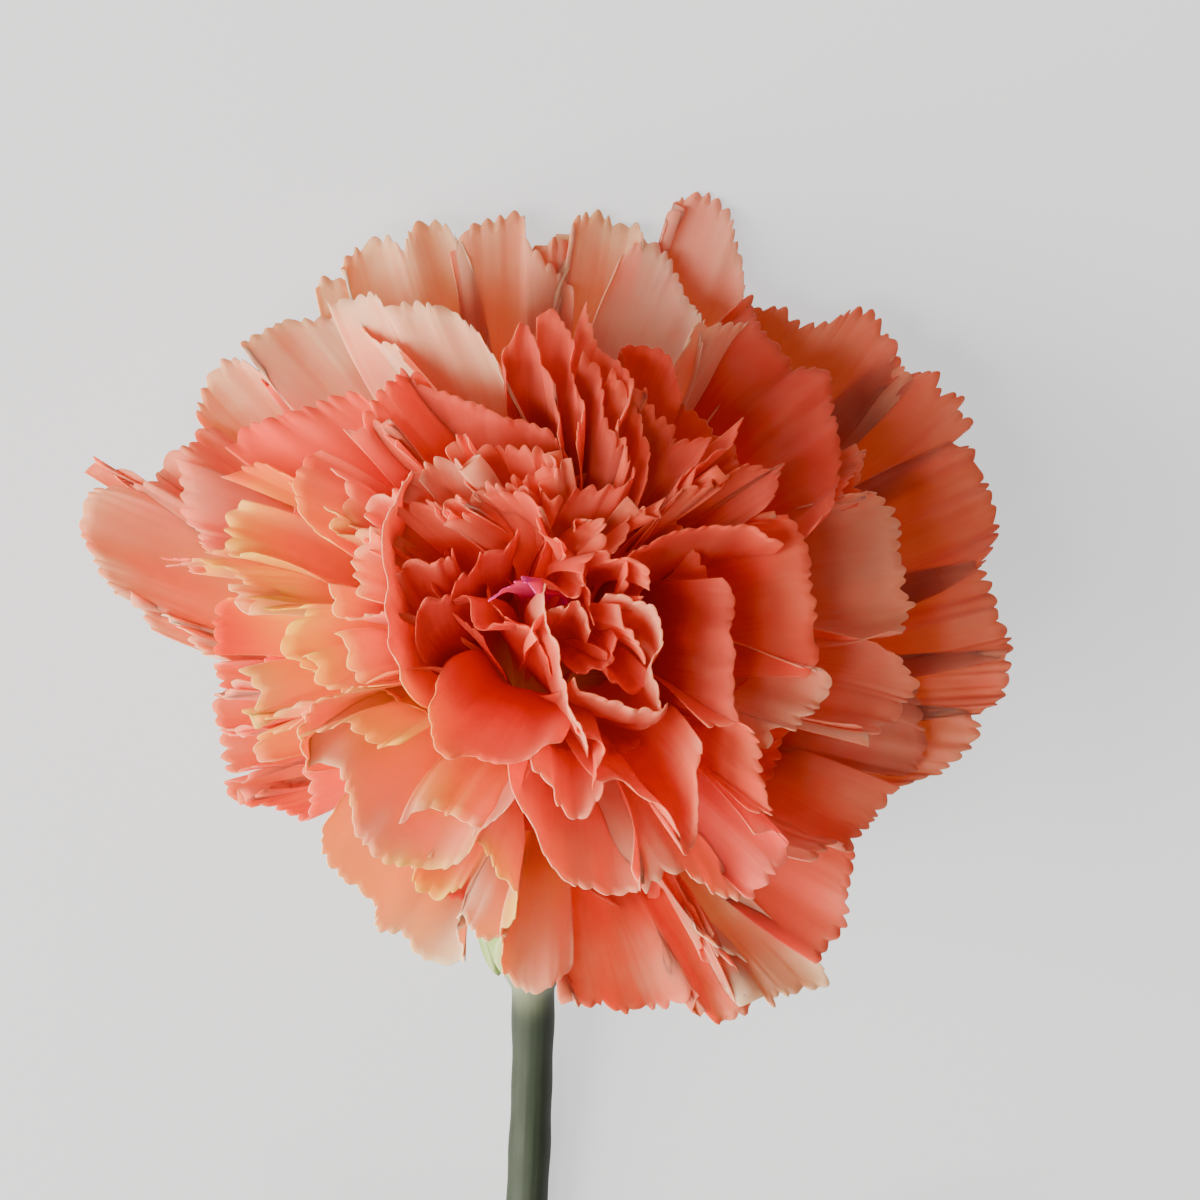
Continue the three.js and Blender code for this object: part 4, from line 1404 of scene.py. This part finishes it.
class Bloom:
    """The ruffled head: the petals that the photograph shows, over whorls of petals that they mostly hide."""

    SEED = 41

    # The cells across and along a petal, of each kind, and how much closer they are towards its edge.
    SEEN_GRID = (90, 32)
    FRILL_GRID = (56, 22)
    HIDDEN_GRID = (60, 20)
    ALONG_EASE = 0.85
    THICKNESS = 0.11

    # Lines of sight: the heights at which they are sampled, and the lift that is one whole level.
    LINE_HEIGHTS = (56.0, -12.0)
    LINE_STEP = 0.25
    LIFT_SCALE = 40.0
    GILD_LEVEL = 0.9
    GILD_DEPTH = 7.0

    # A hidden edge is drawn in step by step until it shows so many pixels inside the outline.
    OUTLINE_MARGIN = 28.0
    LEAST_LEVEL = 0.4
    LEVEL_STEP = 0.02

    # A hidden whorl: how far it is turned from the next, where its petals' lines start, how far along them
    # their edges may be, how many places an edge has, and how much each thing differs from petal to petal.
    WHORL_TURN = 137.5
    WHORL_HEART = 8.0
    WHORL_REACHES = (4.0, 60.0, 0.25)
    WHORL_PLACES = 9
    TURN_SPREAD = 0.2
    LEAN_SPREAD = 6.0
    LEVEL_SPREAD = 0.03
    SINK_SPREAD = 5.0
    FOLD_SPREAD = 0.3
    TONE_SPREAD = 0.25

    # Teeth: millimetres for each, their greatest depth and how pointed they are, and how uneven all that is.
    TOOTH_PITCH = 1.3
    TOOTH_DEPTH = 0.75
    TOOTH_SHARPNESS = 1.7
    TOOTH_SHIFT = 0.3
    TOOTH_DEPTHS = (0.3, 1.2)
    TOOTH_POINTS = (0.3, 0.7)
    TOOTH_SEED = 7

    # How high above the surface the lowest petals lie, and how softly the others are bent onto it.
    FLOOR_CLEARANCE = 0.25
    PRESS_SOFTNESS = 0.5

    def __init__(self, lie: Lie, view: View, finish: bpy.types.Material) -> None:
        """Places every petal.

        Args:
            lie: where the flower lies.
            view: the camera, by which the petals that the photograph shows are placed.
            finish: the petals' material.
        """
        self.lie = lie
        self.view = view
        self.dome = Dome()
        self.finish = finish
        self.draws = np.random.default_rng(self.SEED)
        back = view.axes()[2]
        self.eye = np.array(lie.face.inverted() @ (view.target(lie) + back * view.distance))
        self.heights = np.arange(self.LINE_HEIGHTS[0], self.LINE_HEIGHTS[1], -self.LINE_STEP)
        self.petals = {whorl.name: self.whorl(turn, whorl) for turn, whorl in enumerate(WHORLS)}
        for group, rows in SEEN_GROUPS.items():
            self.petals[group] = [self.seen(row) for row in rows]

    def gild(self, points: np.ndarray) -> np.ndarray:
        """How strongly the yellow bases shine through at points of the face's frame."""
        bare = np.ones(points.shape[:-1])
        for spot in GILDINGS:
            place = self.dome.meet(self.view.sight(self.lie, spot.pixel, self.heights), self.GILD_LEVEL)
            away = self.eye - place
            away /= np.linalg.norm(away)
            gone = points - place
            deep = gone @ away
            aside = (gone**2).sum(axis=-1) - deep**2
            near = np.exp(-aside / spot.radius**2 - (deep / self.GILD_DEPTH) ** 4)
            bare *= 1.0 - spot.strength * near
        return 1.0 - bare

    def seen(self, row: Seen) -> Petal:
        """A petal whose edge shows where the photograph has it.

        Args:
            row: what the photograph shows of it.

        Returns:
            The petal.
        """
        log.debug("petal %s", row.name)
        edge = []
        for place, pixel in enumerate(row.edge):
            line = self.view.sight(self.lie, pixel, self.heights)
            lift = row.lift + row.slant * place / (len(row.edge) - 1)
            edge.append(self.dome.meet(line, 1.0 + lift / self.LIFT_SCALE))
        seed = round(PHOTO_SIZE * row.edge[0][0] + row.edge[0][1])
        return Petal(np.array(edge), row.look, seed, self.eye)

    def whorl(self, turn: int, whorl: Whorl) -> list[Petal]:
        """The petals of one hidden whorl, spaced round it with a little disorder.

        Args:
            turn: the whorl's place, 0 for the outermost.
            whorl: what its petals share.

        Returns:
            Its petals.
        """
        petals = []
        reaches = np.arange(*self.WHORL_REACHES)
        for place in range(whorl.count):
            draw = self.draws.uniform(-1.0, 1.0, 8)
            share = (place + self.TURN_SPREAD * draw[0]) / whorl.count
            azimuth = math.radians(turn * self.WHORL_TURN + 360.0 * share)
            lean = math.radians(whorl.lean + self.LEAN_SPREAD * draw[1])
            level = whorl.level * (1.0 + self.LEVEL_SPREAD * draw[2])
            edge = []
            for part in np.linspace(-1.0, 1.0, self.WHORL_PLACES):
                sunk = lean + math.radians(self.SINK_SPREAD * part * draw[3])
                out = max(8.0, 40.0 * math.sin(min(sunk, 1.4)))
                side = azimuth + part * whorl.width / 2.0 / out
                flat = math.sin(sunk)
                way = np.array([math.cos(side) * flat, math.sin(side) * flat, math.cos(sunk)])
                line = np.array([0.0, 0.0, self.WHORL_HEART]) + reaches[::-1, None] * way
                wanted = level * (1.0 - 0.1 * part**2 - 0.06 * part**4)
                while not self.hidden(self.dome.meet(line, wanted)) and wanted > self.LEAST_LEVEL:
                    wanted -= self.LEVEL_STEP
                edge.append(self.dome.meet(line, wanted))
            look = replace(
                whorl.look,
                fold=whorl.look.fold * (1.0 + self.FOLD_SPREAD * draw[4]),
                phase=2.0 * draw[5],
                tone=min(1.0, max(0.0, whorl.look.tone + self.TONE_SPREAD * draw[6])),
            )
            petals.append(Petal(np.array(edge), look, 100 * turn + place))
        return petals

    def hidden(self, point: np.ndarray) -> bool:
        """Whether a point shows well inside the outline that the photograph gives the bloom."""
        middle = self.view.pixel(self.lie, np.array([0.0, 0.0, self.dome.middle]))
        place = self.view.pixel(self.lie, point)
        away = place - middle
        place = place + away / max(float(np.linalg.norm(away)), 1.0) * self.OUTLINE_MARGIN
        turns = 0
        for (x0, y0), (x1, y1) in zip(OUTLINE, OUTLINE[1:] + OUTLINE[:1]):
            if (y0 > place[1]) != (y1 > place[1]):
                turns += place[0] < x0 + (place[1] - y0) / (y1 - y0) * (x1 - x0)
        return turns % 2 == 1

    def teeth(self, petal: Petal, across: np.ndarray) -> np.ndarray:
        """How far a petal's edge falls short at each place across it, as uneven teeth.

        Args:
            petal: the petal.
            across: the places, from -1 to 1.

        Returns:
            The shortfalls, in millimetres.
        """
        draws = np.random.default_rng(petal.seed + self.TOOTH_SEED)
        count = max(3, round(petal.edge_length / self.TOOTH_PITCH))
        place = (across + 1.0) / 2.0 * count
        knots = np.arange(count + 2) + draws.uniform(-self.TOOTH_SHIFT, self.TOOTH_SHIFT, count + 2)
        knots[0], knots[-1] = -1.0, count + 1.0
        index = np.clip(np.searchsorted(knots, place, side="right") - 1, 0, count)
        inside = (place - knots[index]) / (knots[index + 1] - knots[index])
        depth = draws.uniform(*self.TOOTH_DEPTHS, count + 1)[index] * self.TOOTH_DEPTH * petal.look.teeth
        point = draws.uniform(*self.TOOTH_POINTS, count + 1)[index]
        notch = np.where(inside < point, 1.0 - inside / point, (inside - point) / (1.0 - point))
        return depth * notch**self.TOOTH_SHARPNESS

    def press(self, points: np.ndarray) -> np.ndarray:
        """Bends what would sink below the surface softly onto it."""
        height = (points[..., 2] - self.FLOOR_CLEARANCE) / self.PRESS_SOFTNESS
        pressed = self.FLOOR_CLEARANCE + self.PRESS_SOFTNESS * np.logaddexp(0.0, height)
        return np.concatenate((points[..., :2], pressed[..., None]), axis=-1)

    def build(self) -> None:
        """Makes one piece for each group of petals."""
        grids = {"frill_seen": self.FRILL_GRID, **{whorl.name: self.HIDDEN_GRID for whorl in WHORLS}}
        for group, petals in self.petals.items():
            cells = grids.get(group, self.SEEN_GRID)
            across = np.linspace(-1.0, 1.0, cells[0] + 1)
            along = np.linspace(0.0, 1.0, cells[1] + 1) ** self.ALONG_EASE
            mesh = grid_mesh(f"petals_{group}", len(petals), *cells)
            rows, columns = grid_places(mesh, len(petals), *cells)
            points = []
            gilded = []
            for petal in petals:
                sheet = petal.sheet(across, along, self.teeth(petal, across))
                points.append(self.press(placed(sheet, self.lie.face))[rows, columns])
                gilded.append(self.gild(sheet)[rows, columns])
            write_points(mesh, np.stack(points))
            add_attribute(mesh, "gild", np.concatenate(gilded))
            add_attribute(mesh, "along", np.tile(along[rows], len(petals)))
            add_attribute(mesh, "across", np.tile(across[columns], len(petals)))
            for name in LOOK_ATTRIBUTES:
                values = [getattr(petal.look, name) for petal in petals]
                add_attribute(mesh, name, np.repeat(values, len(rows)))
            thicken(piece(mesh, self.finish, "bloom"), self.THICKNESS)


# ---- Calyx ----


Shaping = Callable[[np.ndarray, np.ndarray], np.ndarray]


def lathe(name: str, profile: np.ndarray, sides: int, shape: Shaping) -> bpy.types.Mesh:
    """A turned surface, closed round the axis, whose points may be shaped further.

    Args:
        name: the mesh's name.
        profile: how far out and how high each ring is, shape (rings, 2), from one pole to the other.
        sides: the number of points round it.
        shape: moves the points, given them and their angles, both by ring and side.

    Returns:
        The mesh, with the attributes along and across in millimetres.
    """
    mesh = grid_mesh(name, 1, sides, len(profile) - 1)
    rows, columns = grid_places(mesh, 1, sides, len(profile) - 1)
    angle = np.linspace(-math.pi, math.pi, sides + 1)[None, :]
    out = profile[:, :1]
    high = np.repeat(profile[:, 1:], sides + 1, axis=1)
    points = np.stack((out * np.cos(angle), out * np.sin(angle), high), axis=-1)
    write_points(mesh, shape(points, angle)[rows, columns])
    add_attribute(mesh, "along", high[rows, columns])
    add_attribute(mesh, "across", (np.abs(angle) * np.maximum(out, 1.0))[rows, columns])
    return mesh


def weld(mesh: bpy.types.Mesh) -> None:
    """Closes a rolled-up grid along its seam and at its poles, and turns its faces outward."""
    body = bmesh.new()
    body.from_mesh(mesh)
    bmesh.ops.remove_doubles(body, verts=body.verts, dist=WELD * MM)
    bmesh.ops.recalc_face_normals(body, faces=body.faces)
    body.to_mesh(mesh)
    body.free()


@dataclass(frozen=True)
class Calyx:
    """The green tube that holds the petals' claws, its five teeth and the bracts at its foot."""

    lie: Lie
    teeth: int = 5
    tooth_height: float = 6.0
    tooth_root: float = -6.0
    flare: float = 0.06
    edge: float = 0.35
    sides: int = 180
    rib_depth: float = 0.07
    rib_count: int = 35
    bract_length: float = 11.0
    bract_half_width: float = 3.8
    bract_thickness: float = 0.5

    # How far out and how high the tube and the bundle of claws are, from the mouth.
    OUTSIDE = (
        (3.6, -27.0), (4.5, -25.6), (5.2, -23.7), (5.8, -19.5),
        (6.2, -14.8), (6.5, -9.0), (6.6, -4.0), (6.6, 0.0),
    )
    RINGS_BELOW = 22
    RINGS_IN_TEETH = 16
    RINGS_INSIDE = 23
    TEETH_FROM = -5.6
    FOOT_RING = 2.8
    PALE_FOOT = (-27.0, -18.0)
    FOOT_PALENESS = 0.5
    CLAWS = ((0.0, -7.0), (5.5, -7.0), (5.9, 0.0), (5.7, 5.0), (4.6, 9.5), (2.6, 12.5), (0.0, 13.5))
    CLAW_RINGS = 40

    # How far along its petal each millimetre of a claw is, from the bundle's bottom.
    CLAW_BOTTOM = -7.0
    CLAW_SHARE = 0.012

    BRACTS = 4
    BRACT_GRID = (20, 24)
    BRACT_WIDTHS = (0.75, 0.95, 1.0, 0.93, 0.75, 0.45, 0.04)
    BRACT_PAIR_LIFT = 1.2

    def build(self, green: bpy.types.Material, petal: bpy.types.Material) -> None:
        """Makes the tube, the bracts and the bundle of claws in its mouth.

        Args:
            green: the calyx's material.
            petal: the petals'.
        """
        tube = self.tube()
        weld(tube)
        piece(tube, green, "calyx")
        thicken(piece(self.bracts(), green, "calyx"), self.bract_thickness)
        claws = self.claws()
        weld(claws)
        piece(claws, petal, "bloom")

    def tube(self) -> bpy.types.Mesh:
        """The tube: out from its foot, up its outside, over the toothed rim and down inside to its claws."""
        below = np.linspace(-CALYX_LENGTH, self.tooth_root, self.RINGS_BELOW)
        heights = np.concatenate((below, np.linspace(self.TEETH_FROM, 0.0, self.RINGS_IN_TEETH)))
        table = np.array(self.OUTSIDE)
        outside = np.stack((np.interp(heights, table[:, 1], table[:, 0]), heights), axis=1)
        inside = outside[: -self.RINGS_INSIDE - 1 : -1] - np.array([self.edge, 0.0])
        foot = np.array([[0.0, -CALYX_LENGTH], [self.FOOT_RING, -CALYX_LENGTH]])
        floor = np.array([[0.0, inside[-1, 1]]])
        mesh = lathe("calyx_tube", np.concatenate((foot, outside, inside, floor)), self.sides, self.toothed)
        points = read_points(mesh) / MM
        write_points(mesh, placed(points, self.lie.head))
        add_attribute(mesh, "pale", self.FOOT_PALENESS * (1.0 - smoothstep(points[:, 2], *self.PALE_FOOT)))
        return mesh

    def toothed(self, points: np.ndarray, angle: np.ndarray) -> np.ndarray:
        """Raises a tube's rim into teeth and gives it fine ribs."""
        turn = angle / (2.0 * math.pi) * self.teeth
        tip = 1.0 - 2.0 * np.abs(turn - np.round(turn))
        share = smoothstep(points[..., 2], self.tooth_root, 0.0)
        lift = share * tip**0.85 * self.tooth_height
        ribs = 1.0 + self.rib_depth / CALYX_FOOT_RADIUS * np.cos(self.rib_count * angle) * 0.5
        wide = ribs * (1.0 + self.flare * tip * share)
        return np.stack((points[..., 0] * wide, points[..., 1] * wide, points[..., 2] + lift), axis=-1)

    def claws(self) -> bpy.types.Mesh:
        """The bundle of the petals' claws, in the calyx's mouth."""
        places = np.arange(len(self.CLAWS))
        wanted = np.linspace(0, places[-1], self.CLAW_RINGS)
        profile = np.stack([np.interp(wanted, places, column) for column in zip(*self.CLAWS)], axis=1)
        mesh = lathe("petal_claws", profile, self.sides, self.fluted)
        points = read_points(mesh) / MM
        write_points(mesh, placed(points, self.lie.head))
        along = self.CLAW_SHARE * (points[:, 2] - self.CLAW_BOTTOM)
        mesh.attributes["along"].data.foreach_set("value", along.astype(np.float32))
        for name in (*LOOK_ATTRIBUTES, "gild"):
            add_attribute(mesh, name, np.zeros(len(points)))
        return mesh

    @staticmethod
    def fluted(points: np.ndarray, angle: np.ndarray) -> np.ndarray:
        """Presses the gaps between claws into a bundle."""
        groove = 1.0 - 0.05 * np.abs(np.sin(11.0 * angle)) ** 0.5 - 0.03 * np.abs(np.sin(17.0 * angle + 1.0))
        return np.stack((points[..., 0] * groove, points[..., 1] * groove, points[..., 2]), axis=-1)

    def bracts(self) -> bpy.types.Mesh:
        """Two pairs of broad pointed bracts that hug the calyx's foot."""
        mesh = grid_mesh("calyx_bracts", self.BRACTS, *self.BRACT_GRID)
        flat = read_points(mesh).reshape(self.BRACTS, -1, 3)
        points = []
        for index, corner in enumerate(flat):
            across, along = corner[:, 0], (corner[:, 1] + 1.0) / 2.0
            pair_lift = self.BRACT_PAIR_LIFT * (index % 2)
            width = np.interp(along, np.linspace(0.0, 1.0, len(self.BRACT_WIDTHS)), self.BRACT_WIDTHS)
            high = -CALYX_LENGTH + 0.4 + pair_lift + along * self.bract_length
            out = CALYX_FOOT_RADIUS + 0.5 + 1.9 * np.sqrt(along) + 0.25 * pair_lift
            angle = across * width * self.bract_half_width / out + index * math.pi / 2.0
            points.append(np.stack((out * np.cos(angle), out * np.sin(angle), high), axis=1))
        write_points(mesh, placed(np.stack(points), self.lie.head))
        add_attribute(mesh, "along", (flat[..., 1] + 1.0) * self.bract_length / 2.0)
        add_attribute(mesh, "across", flat[..., 0] * self.bract_half_width)
        add_attribute(mesh, "pale", 0.35 * smoothstep(np.abs(flat[..., 0]), 0.6, 1.0))
        return mesh


# ---- Stem and leaves ----


@dataclass(frozen=True)
class Stem:
    """The stem: out of the calyx, down to the surface in a bend, and along it to the cut end.

    Lengths are in millimetres. `joints` and `touchdown` are distances along Y from the calyx's foot, and
    `sway` is how far it bends aside.
    """

    lie: Lie
    radius: float = 2.1
    length: float = 158.0
    joint_radius: float = 3.1
    joints: tuple[float, float] = (68.0, 124.0)
    touchdown: float = 62.0
    sway: float = 5.0
    sides: int = 48
    rings: int = 320
    collar_length: float = 4.0
    joint_length: float = 2.7

    # How much slimmer the collar is than the calyx's foot, and a joint's swelling than the CAD solid's.
    COLLAR_INSET = 0.4
    JOINT_INSET = 0.08

    # The groove on the bloom's side of each joint, the paler skin past the joint, and that under the calyx.
    GROOVE_DEPTH = 0.18
    GROOVE_OFFSET = 1.6
    GROOVE_LENGTH = 0.35
    PALE_OFFSET = 2.0
    PALE_LENGTH = 3.0
    PALE_TOP = 7.0

    # How much narrower the rim of each end is.
    END_BEVEL = 0.97

    def point(self, distance: np.ndarray) -> np.ndarray:
        """Places on its middle line at distances along Y from the calyx's foot."""
        distance = np.asarray(distance, float)
        narrowing = (self.radius - self.joint_radius) * smoothstep(distance, self.joints[1], self.length)
        low = self.joint_radius + narrowing
        left = np.maximum(0.0, 1.0 - distance / self.touchdown)
        slope = math.tan(CALYX_RISE) * self.touchdown
        foot = self.lie.foot
        height = low + (foot.z - low) * (3.0 - 2.0 * left) * left * left - slope * (1.0 - left) * left * left
        aside = self.sway * np.sin(math.pi * distance / self.length / 1.4) ** 2
        return np.stack((foot.x + aside, foot.y + distance, height), axis=-1)

    def build(self, green: bpy.types.Material) -> None:
        """Makes the stem, swollen at its joints, with a clean square cut."""
        distance = np.linspace(0.0, self.length, self.rings)
        girth = self.radius + 0.05 * np.sin(distance * 0.31) + 0.04 * np.sin(distance * 0.83 + 1.0)
        collar = 1.0 - smoothstep(distance, 0.0, self.collar_length)
        girth += (CALYX_FOOT_RADIUS - self.COLLAR_INSET - self.radius) * collar
        for joint in self.joints:
            near = np.exp(-(((distance - joint) / self.joint_length) ** 2))
            girth += (self.joint_radius - self.radius - self.JOINT_INSET) * near
            gone = distance - joint + self.GROOVE_OFFSET
            girth -= self.GROOVE_DEPTH * np.exp(-((gone / self.GROOVE_LENGTH) ** 2))
        centre = self.point(distance)
        ahead = np.gradient(centre, distance, axis=0)
        ahead /= np.linalg.norm(ahead, axis=1, keepdims=True)
        side = np.cross(ahead, (0.0, 0.0, 1.0))
        side /= np.linalg.norm(side, axis=1, keepdims=True)
        up = np.cross(side, ahead)
        centre, side, up = (np.pad(rows, ((2, 2), (0, 0)), mode="edge") for rows in (centre, side, up))
        first, last = girth[:1] * self.END_BEVEL, girth[-1:] * self.END_BEVEL
        girth = np.concatenate(([0.0], first, girth, last, [0.0]))
        angle = np.linspace(-math.pi, math.pi, self.sides + 1)[None, :, None]
        ring = side[:, None] * np.cos(angle) + up[:, None] * np.sin(angle)
        points = centre[:, None] + ring * girth[:, None, None]
        mesh = grid_mesh("stem_stalk", 1, self.sides, len(centre) - 1)
        rows, columns = grid_places(mesh, 1, self.sides, len(centre) - 1)
        write_points(mesh, points[rows, columns])
        along = np.pad(distance, 2, mode="edge")
        around = np.abs(angle[0, :, 0]) * self.radius
        add_attribute(mesh, "along", along[rows])
        add_attribute(mesh, "across", around[columns])
        add_attribute(mesh, "pale", self.paleness(along)[rows])
        weld(mesh)
        piece(mesh, green, "stem")

    def paleness(self, along: np.ndarray) -> np.ndarray:
        """How pale the skin is along the stem: under the calyx, beside each joint and at the cut end."""
        pale = 0.35 * (1.0 - smoothstep(along, 0.0, self.PALE_TOP))
        for joint in self.joints:
            gone = along - joint - self.PALE_OFFSET
            pale = pale + 0.5 * np.exp(-((gone / self.PALE_LENGTH) ** 2))
        pale[-2:] = 1.0
        return np.minimum(pale, 1.0)


@dataclass(frozen=True)
class Leaf:
    """One long narrow leaf that arches away from a stem joint, towards the bloom.

    `joint` is the joint's place in the stem's, `length` is in millimetres, `side` is 1 for +X and -1 for
    -X, and `roll` is how far up from level the leaf's way out is turned, in degrees.
    """

    name: str
    joint: int
    length: float
    roll: float
    side: float

    HALF_WIDTH = 2.3
    THICKNESS = 0.55
    CAD_THICKNESS = 0.9
    CLEARANCE = 1.6
    CHANNEL = 0.42
    CREASE = 0.1
    CREASE_WIDTH = 0.12
    ROWS = 120
    COLUMNS = 20

    # How far past its joint it is rooted, and how far before it the stem is that it first follows.
    ROOT_PAST = 3.0
    FOLLOW_BEFORE = 6.0

    # How far it leans out from the stem at its root, by its middle, and more by its tip, in degrees.
    ROOT_LEAN = 4
    MIDDLE_LEAN = 46
    TIP_LEAN = 38

    def build(self, stem: Stem, green: bpy.types.Material) -> None:
        """Makes the leaf.

        Args:
            stem: the stem that it grows on.
            green: its material.
        """
        base = stem.point(stem.joints[self.joint] + self.ROOT_PAST)
        forward = stem.point(stem.joints[self.joint] - self.FOLLOW_BEFORE) - base
        forward /= np.linalg.norm(forward)
        roll = math.radians(self.roll)
        out = np.array([self.side * math.cos(roll), 0.0, math.sin(roll)])
        along = np.linspace(0.0, 1.0, self.ROWS + 1)
        lean = math.radians(self.ROOT_LEAN) + math.radians(self.MIDDLE_LEAN) * smoothstep(along, 0.04, 0.5)
        lean += math.radians(self.TIP_LEAN) * smoothstep(along, 0.5, 1.0)
        heading = forward * np.cos(lean)[:, None] + out * np.sin(lean)[:, None]
        face = out * np.cos(lean)[:, None] - forward * np.sin(lean)[:, None]
        wide = np.cross(heading, face)
        wide /= np.linalg.norm(wide, axis=1, keepdims=True)
        start = base + out * (stem.joint_radius + PIECE_GAP + self.CAD_THICKNESS / 2.0)
        steps = (heading[1:] + heading[:-1]) / 2.0 * self.length / self.ROWS
        middle = start + np.concatenate((np.zeros((1, 3)), np.cumsum(steps, axis=0)))
        middle[:, 2] = np.maximum(middle[:, 2], self.CLEARANCE)
        across = np.linspace(-1.0, 1.0, self.COLUMNS + 1)
        taper = np.sqrt(np.maximum(1.0 - along**3 * 0.995, 0.0))
        half = self.HALF_WIDTH * np.minimum(1.0, 0.75 + along) * taper
        crease = self.CREASE * half[:, None] * np.exp(-((across / self.CREASE_WIDTH) ** 2))
        channel = -self.CHANNEL * half[:, None] * across**2 - crease
        points = middle[:, None] + wide[:, None] * (across[None, :, None] * half[:, None, None])
        points = points + face[:, None] * channel[..., None]
        points[..., 2] = np.maximum(points[..., 2], self.CAD_THICKNESS / 2.0)
        mesh = grid_mesh(f"{self.name}_blade", 1, self.COLUMNS, self.ROWS)
        rows, columns = grid_places(mesh, 1, self.COLUMNS, self.ROWS)
        write_points(mesh, points[rows, columns])
        add_attribute(mesh, "along", along[rows] * self.length)
        add_attribute(mesh, "across", (across[None, :] * half[:, None])[rows, columns])
        rib = 0.3 * np.exp(-((across / 0.14) ** 2))[columns]
        add_attribute(mesh, "pale", rib + 0.5 * (1.0 - smoothstep(along, 0.0, 0.1))[rows])
        thicken(piece(mesh, green, self.name), self.THICKNESS)


LEAVES = (
    Leaf("leaf_upper_left", joint=0, length=64.0, roll=20.0, side=1.0),
    Leaf("leaf_upper_right", joint=0, length=64.0, roll=8.0, side=-1.0),
    Leaf("leaf_lower_left", joint=1, length=74.0, roll=4.0, side=1.0),
    Leaf("leaf_lower_right", joint=1, length=74.0, roll=62.0, side=-1.0),
)


# ---- The studio ----


@dataclass(frozen=True)
class Lamp:
    """One soft square lamp.

    `towards` is the way to it by the camera's axes, `distance` and `size` (its side) are in metres and
    `power` is in watts.
    """

    name: str
    towards: tuple[float, float, float]
    distance: float
    size: float
    power: float
    tint: Colour

    def build(self, target: Vector, axes: Matrix) -> None:
        """Makes the lamp.

        Args:
            target: what it shines on, in metres.
            axes: the camera's axes.
        """
        towards = axes @ Vector(self.towards)
        data = bpy.data.lights.new(self.name, "AREA")
        data.shape = "SQUARE"
        data.size = self.size
        data.energy = self.power
        data.color = self.tint
        lamp = bpy.data.objects.new(self.name, data)
        lamp.location = target + towards.normalized() * self.distance
        lamp.rotation_euler = towards.to_track_quat("Z", "Y").to_euler()
        bpy.context.scene.collection.objects.link(lamp)


LAMPS = (
    Lamp("key", (-1.0, -0.3, 0.6), 0.7, 0.6, 19.5, (1.0, 0.96, 0.9)),
    Lamp("fill", (-0.35, -0.35, 1.0), 1.2, 0.3, 6.5, (1.0, 0.98, 0.96)),
)


class Studio:
    """A plain pale floor that gives off some light, and soft light from the photograph's side.

    The camera sees the floor's whole glow, and the flower gets the share FLOOR_LIGHT of it.
    """

    FLOOR_SIZE = 6.0
    FLOOR_COLOUR = (0.3, 0.3, 0.305)
    FLOOR_GLOW = 0.95
    FLOOR_LIGHT = (0.4, 0.4, 0.4)
    WHITE = (1.0, 1.0, 1.0)
    AMBIENT = 0.17
    AMBIENT_COLOUR = (0.95, 0.97, 1.0)

    def build(self, lie: Lie, camera: bpy.types.Object) -> None:
        """Makes the floor, the lamps and the ambient light.

        Args:
            lie: where the flower lies.
            camera: the camera, whose axes the lamps are set by.
        """
        dye = Dye("floor")
        dye.feed("Base Color", self.FLOOR_COLOUR)
        dye.feed("Roughness", 0.9)
        dye.feed("Specular IOR Level", 0.1)
        seen = dye.node("ShaderNodeLightPath", "Is Camera Ray")
        dye.feed("Emission Color", dye.blend(seen, self.FLOOR_LIGHT, self.WHITE))
        dye.feed("Emission Strength", self.FLOOR_GLOW)
        sheet = bmesh.new()
        bmesh.ops.create_grid(sheet, x_segments=1, y_segments=1, size=self.FLOOR_SIZE / 2)
        mesh = bpy.data.meshes.new("floor")
        sheet.to_mesh(mesh)
        sheet.free()
        mesh.materials.append(dye.material)
        floor = bpy.data.objects.new("floor", mesh)
        bpy.context.scene.collection.objects.link(floor)
        for lamp in LAMPS:
            lamp.build(lie.mouth * MM, camera.matrix_world.to_3x3())
        world = bpy.data.worlds.new("world")
        world.use_nodes = True
        sky = world.node_tree.nodes["Background"]
        connect(sky.inputs["Color"], self.AMBIENT_COLOUR)
        connect(sky.inputs["Strength"], self.AMBIENT)
        bpy.context.scene.world = world


def main() -> None:
    """Builds the flower, the view and the light."""
    logging.basicConfig(level=logging.INFO, format="%(message)s")
    lie = Lie.from_frame()
    view = View()
    camera = view.place(lie)
    petal = PetalFinish().material()
    Bloom(lie, view, petal).build()
    Calyx(lie).build(CALYX_FINISH.material(), petal)
    stem = Stem(lie)
    stem.build(STEM_FINISH.material())
    leaf_green = LEAF_FINISH.material()
    for leaf in LEAVES:
        leaf.build(stem, leaf_green)
    Studio().build(lie, camera)


if __name__ == "__main__":
    main()
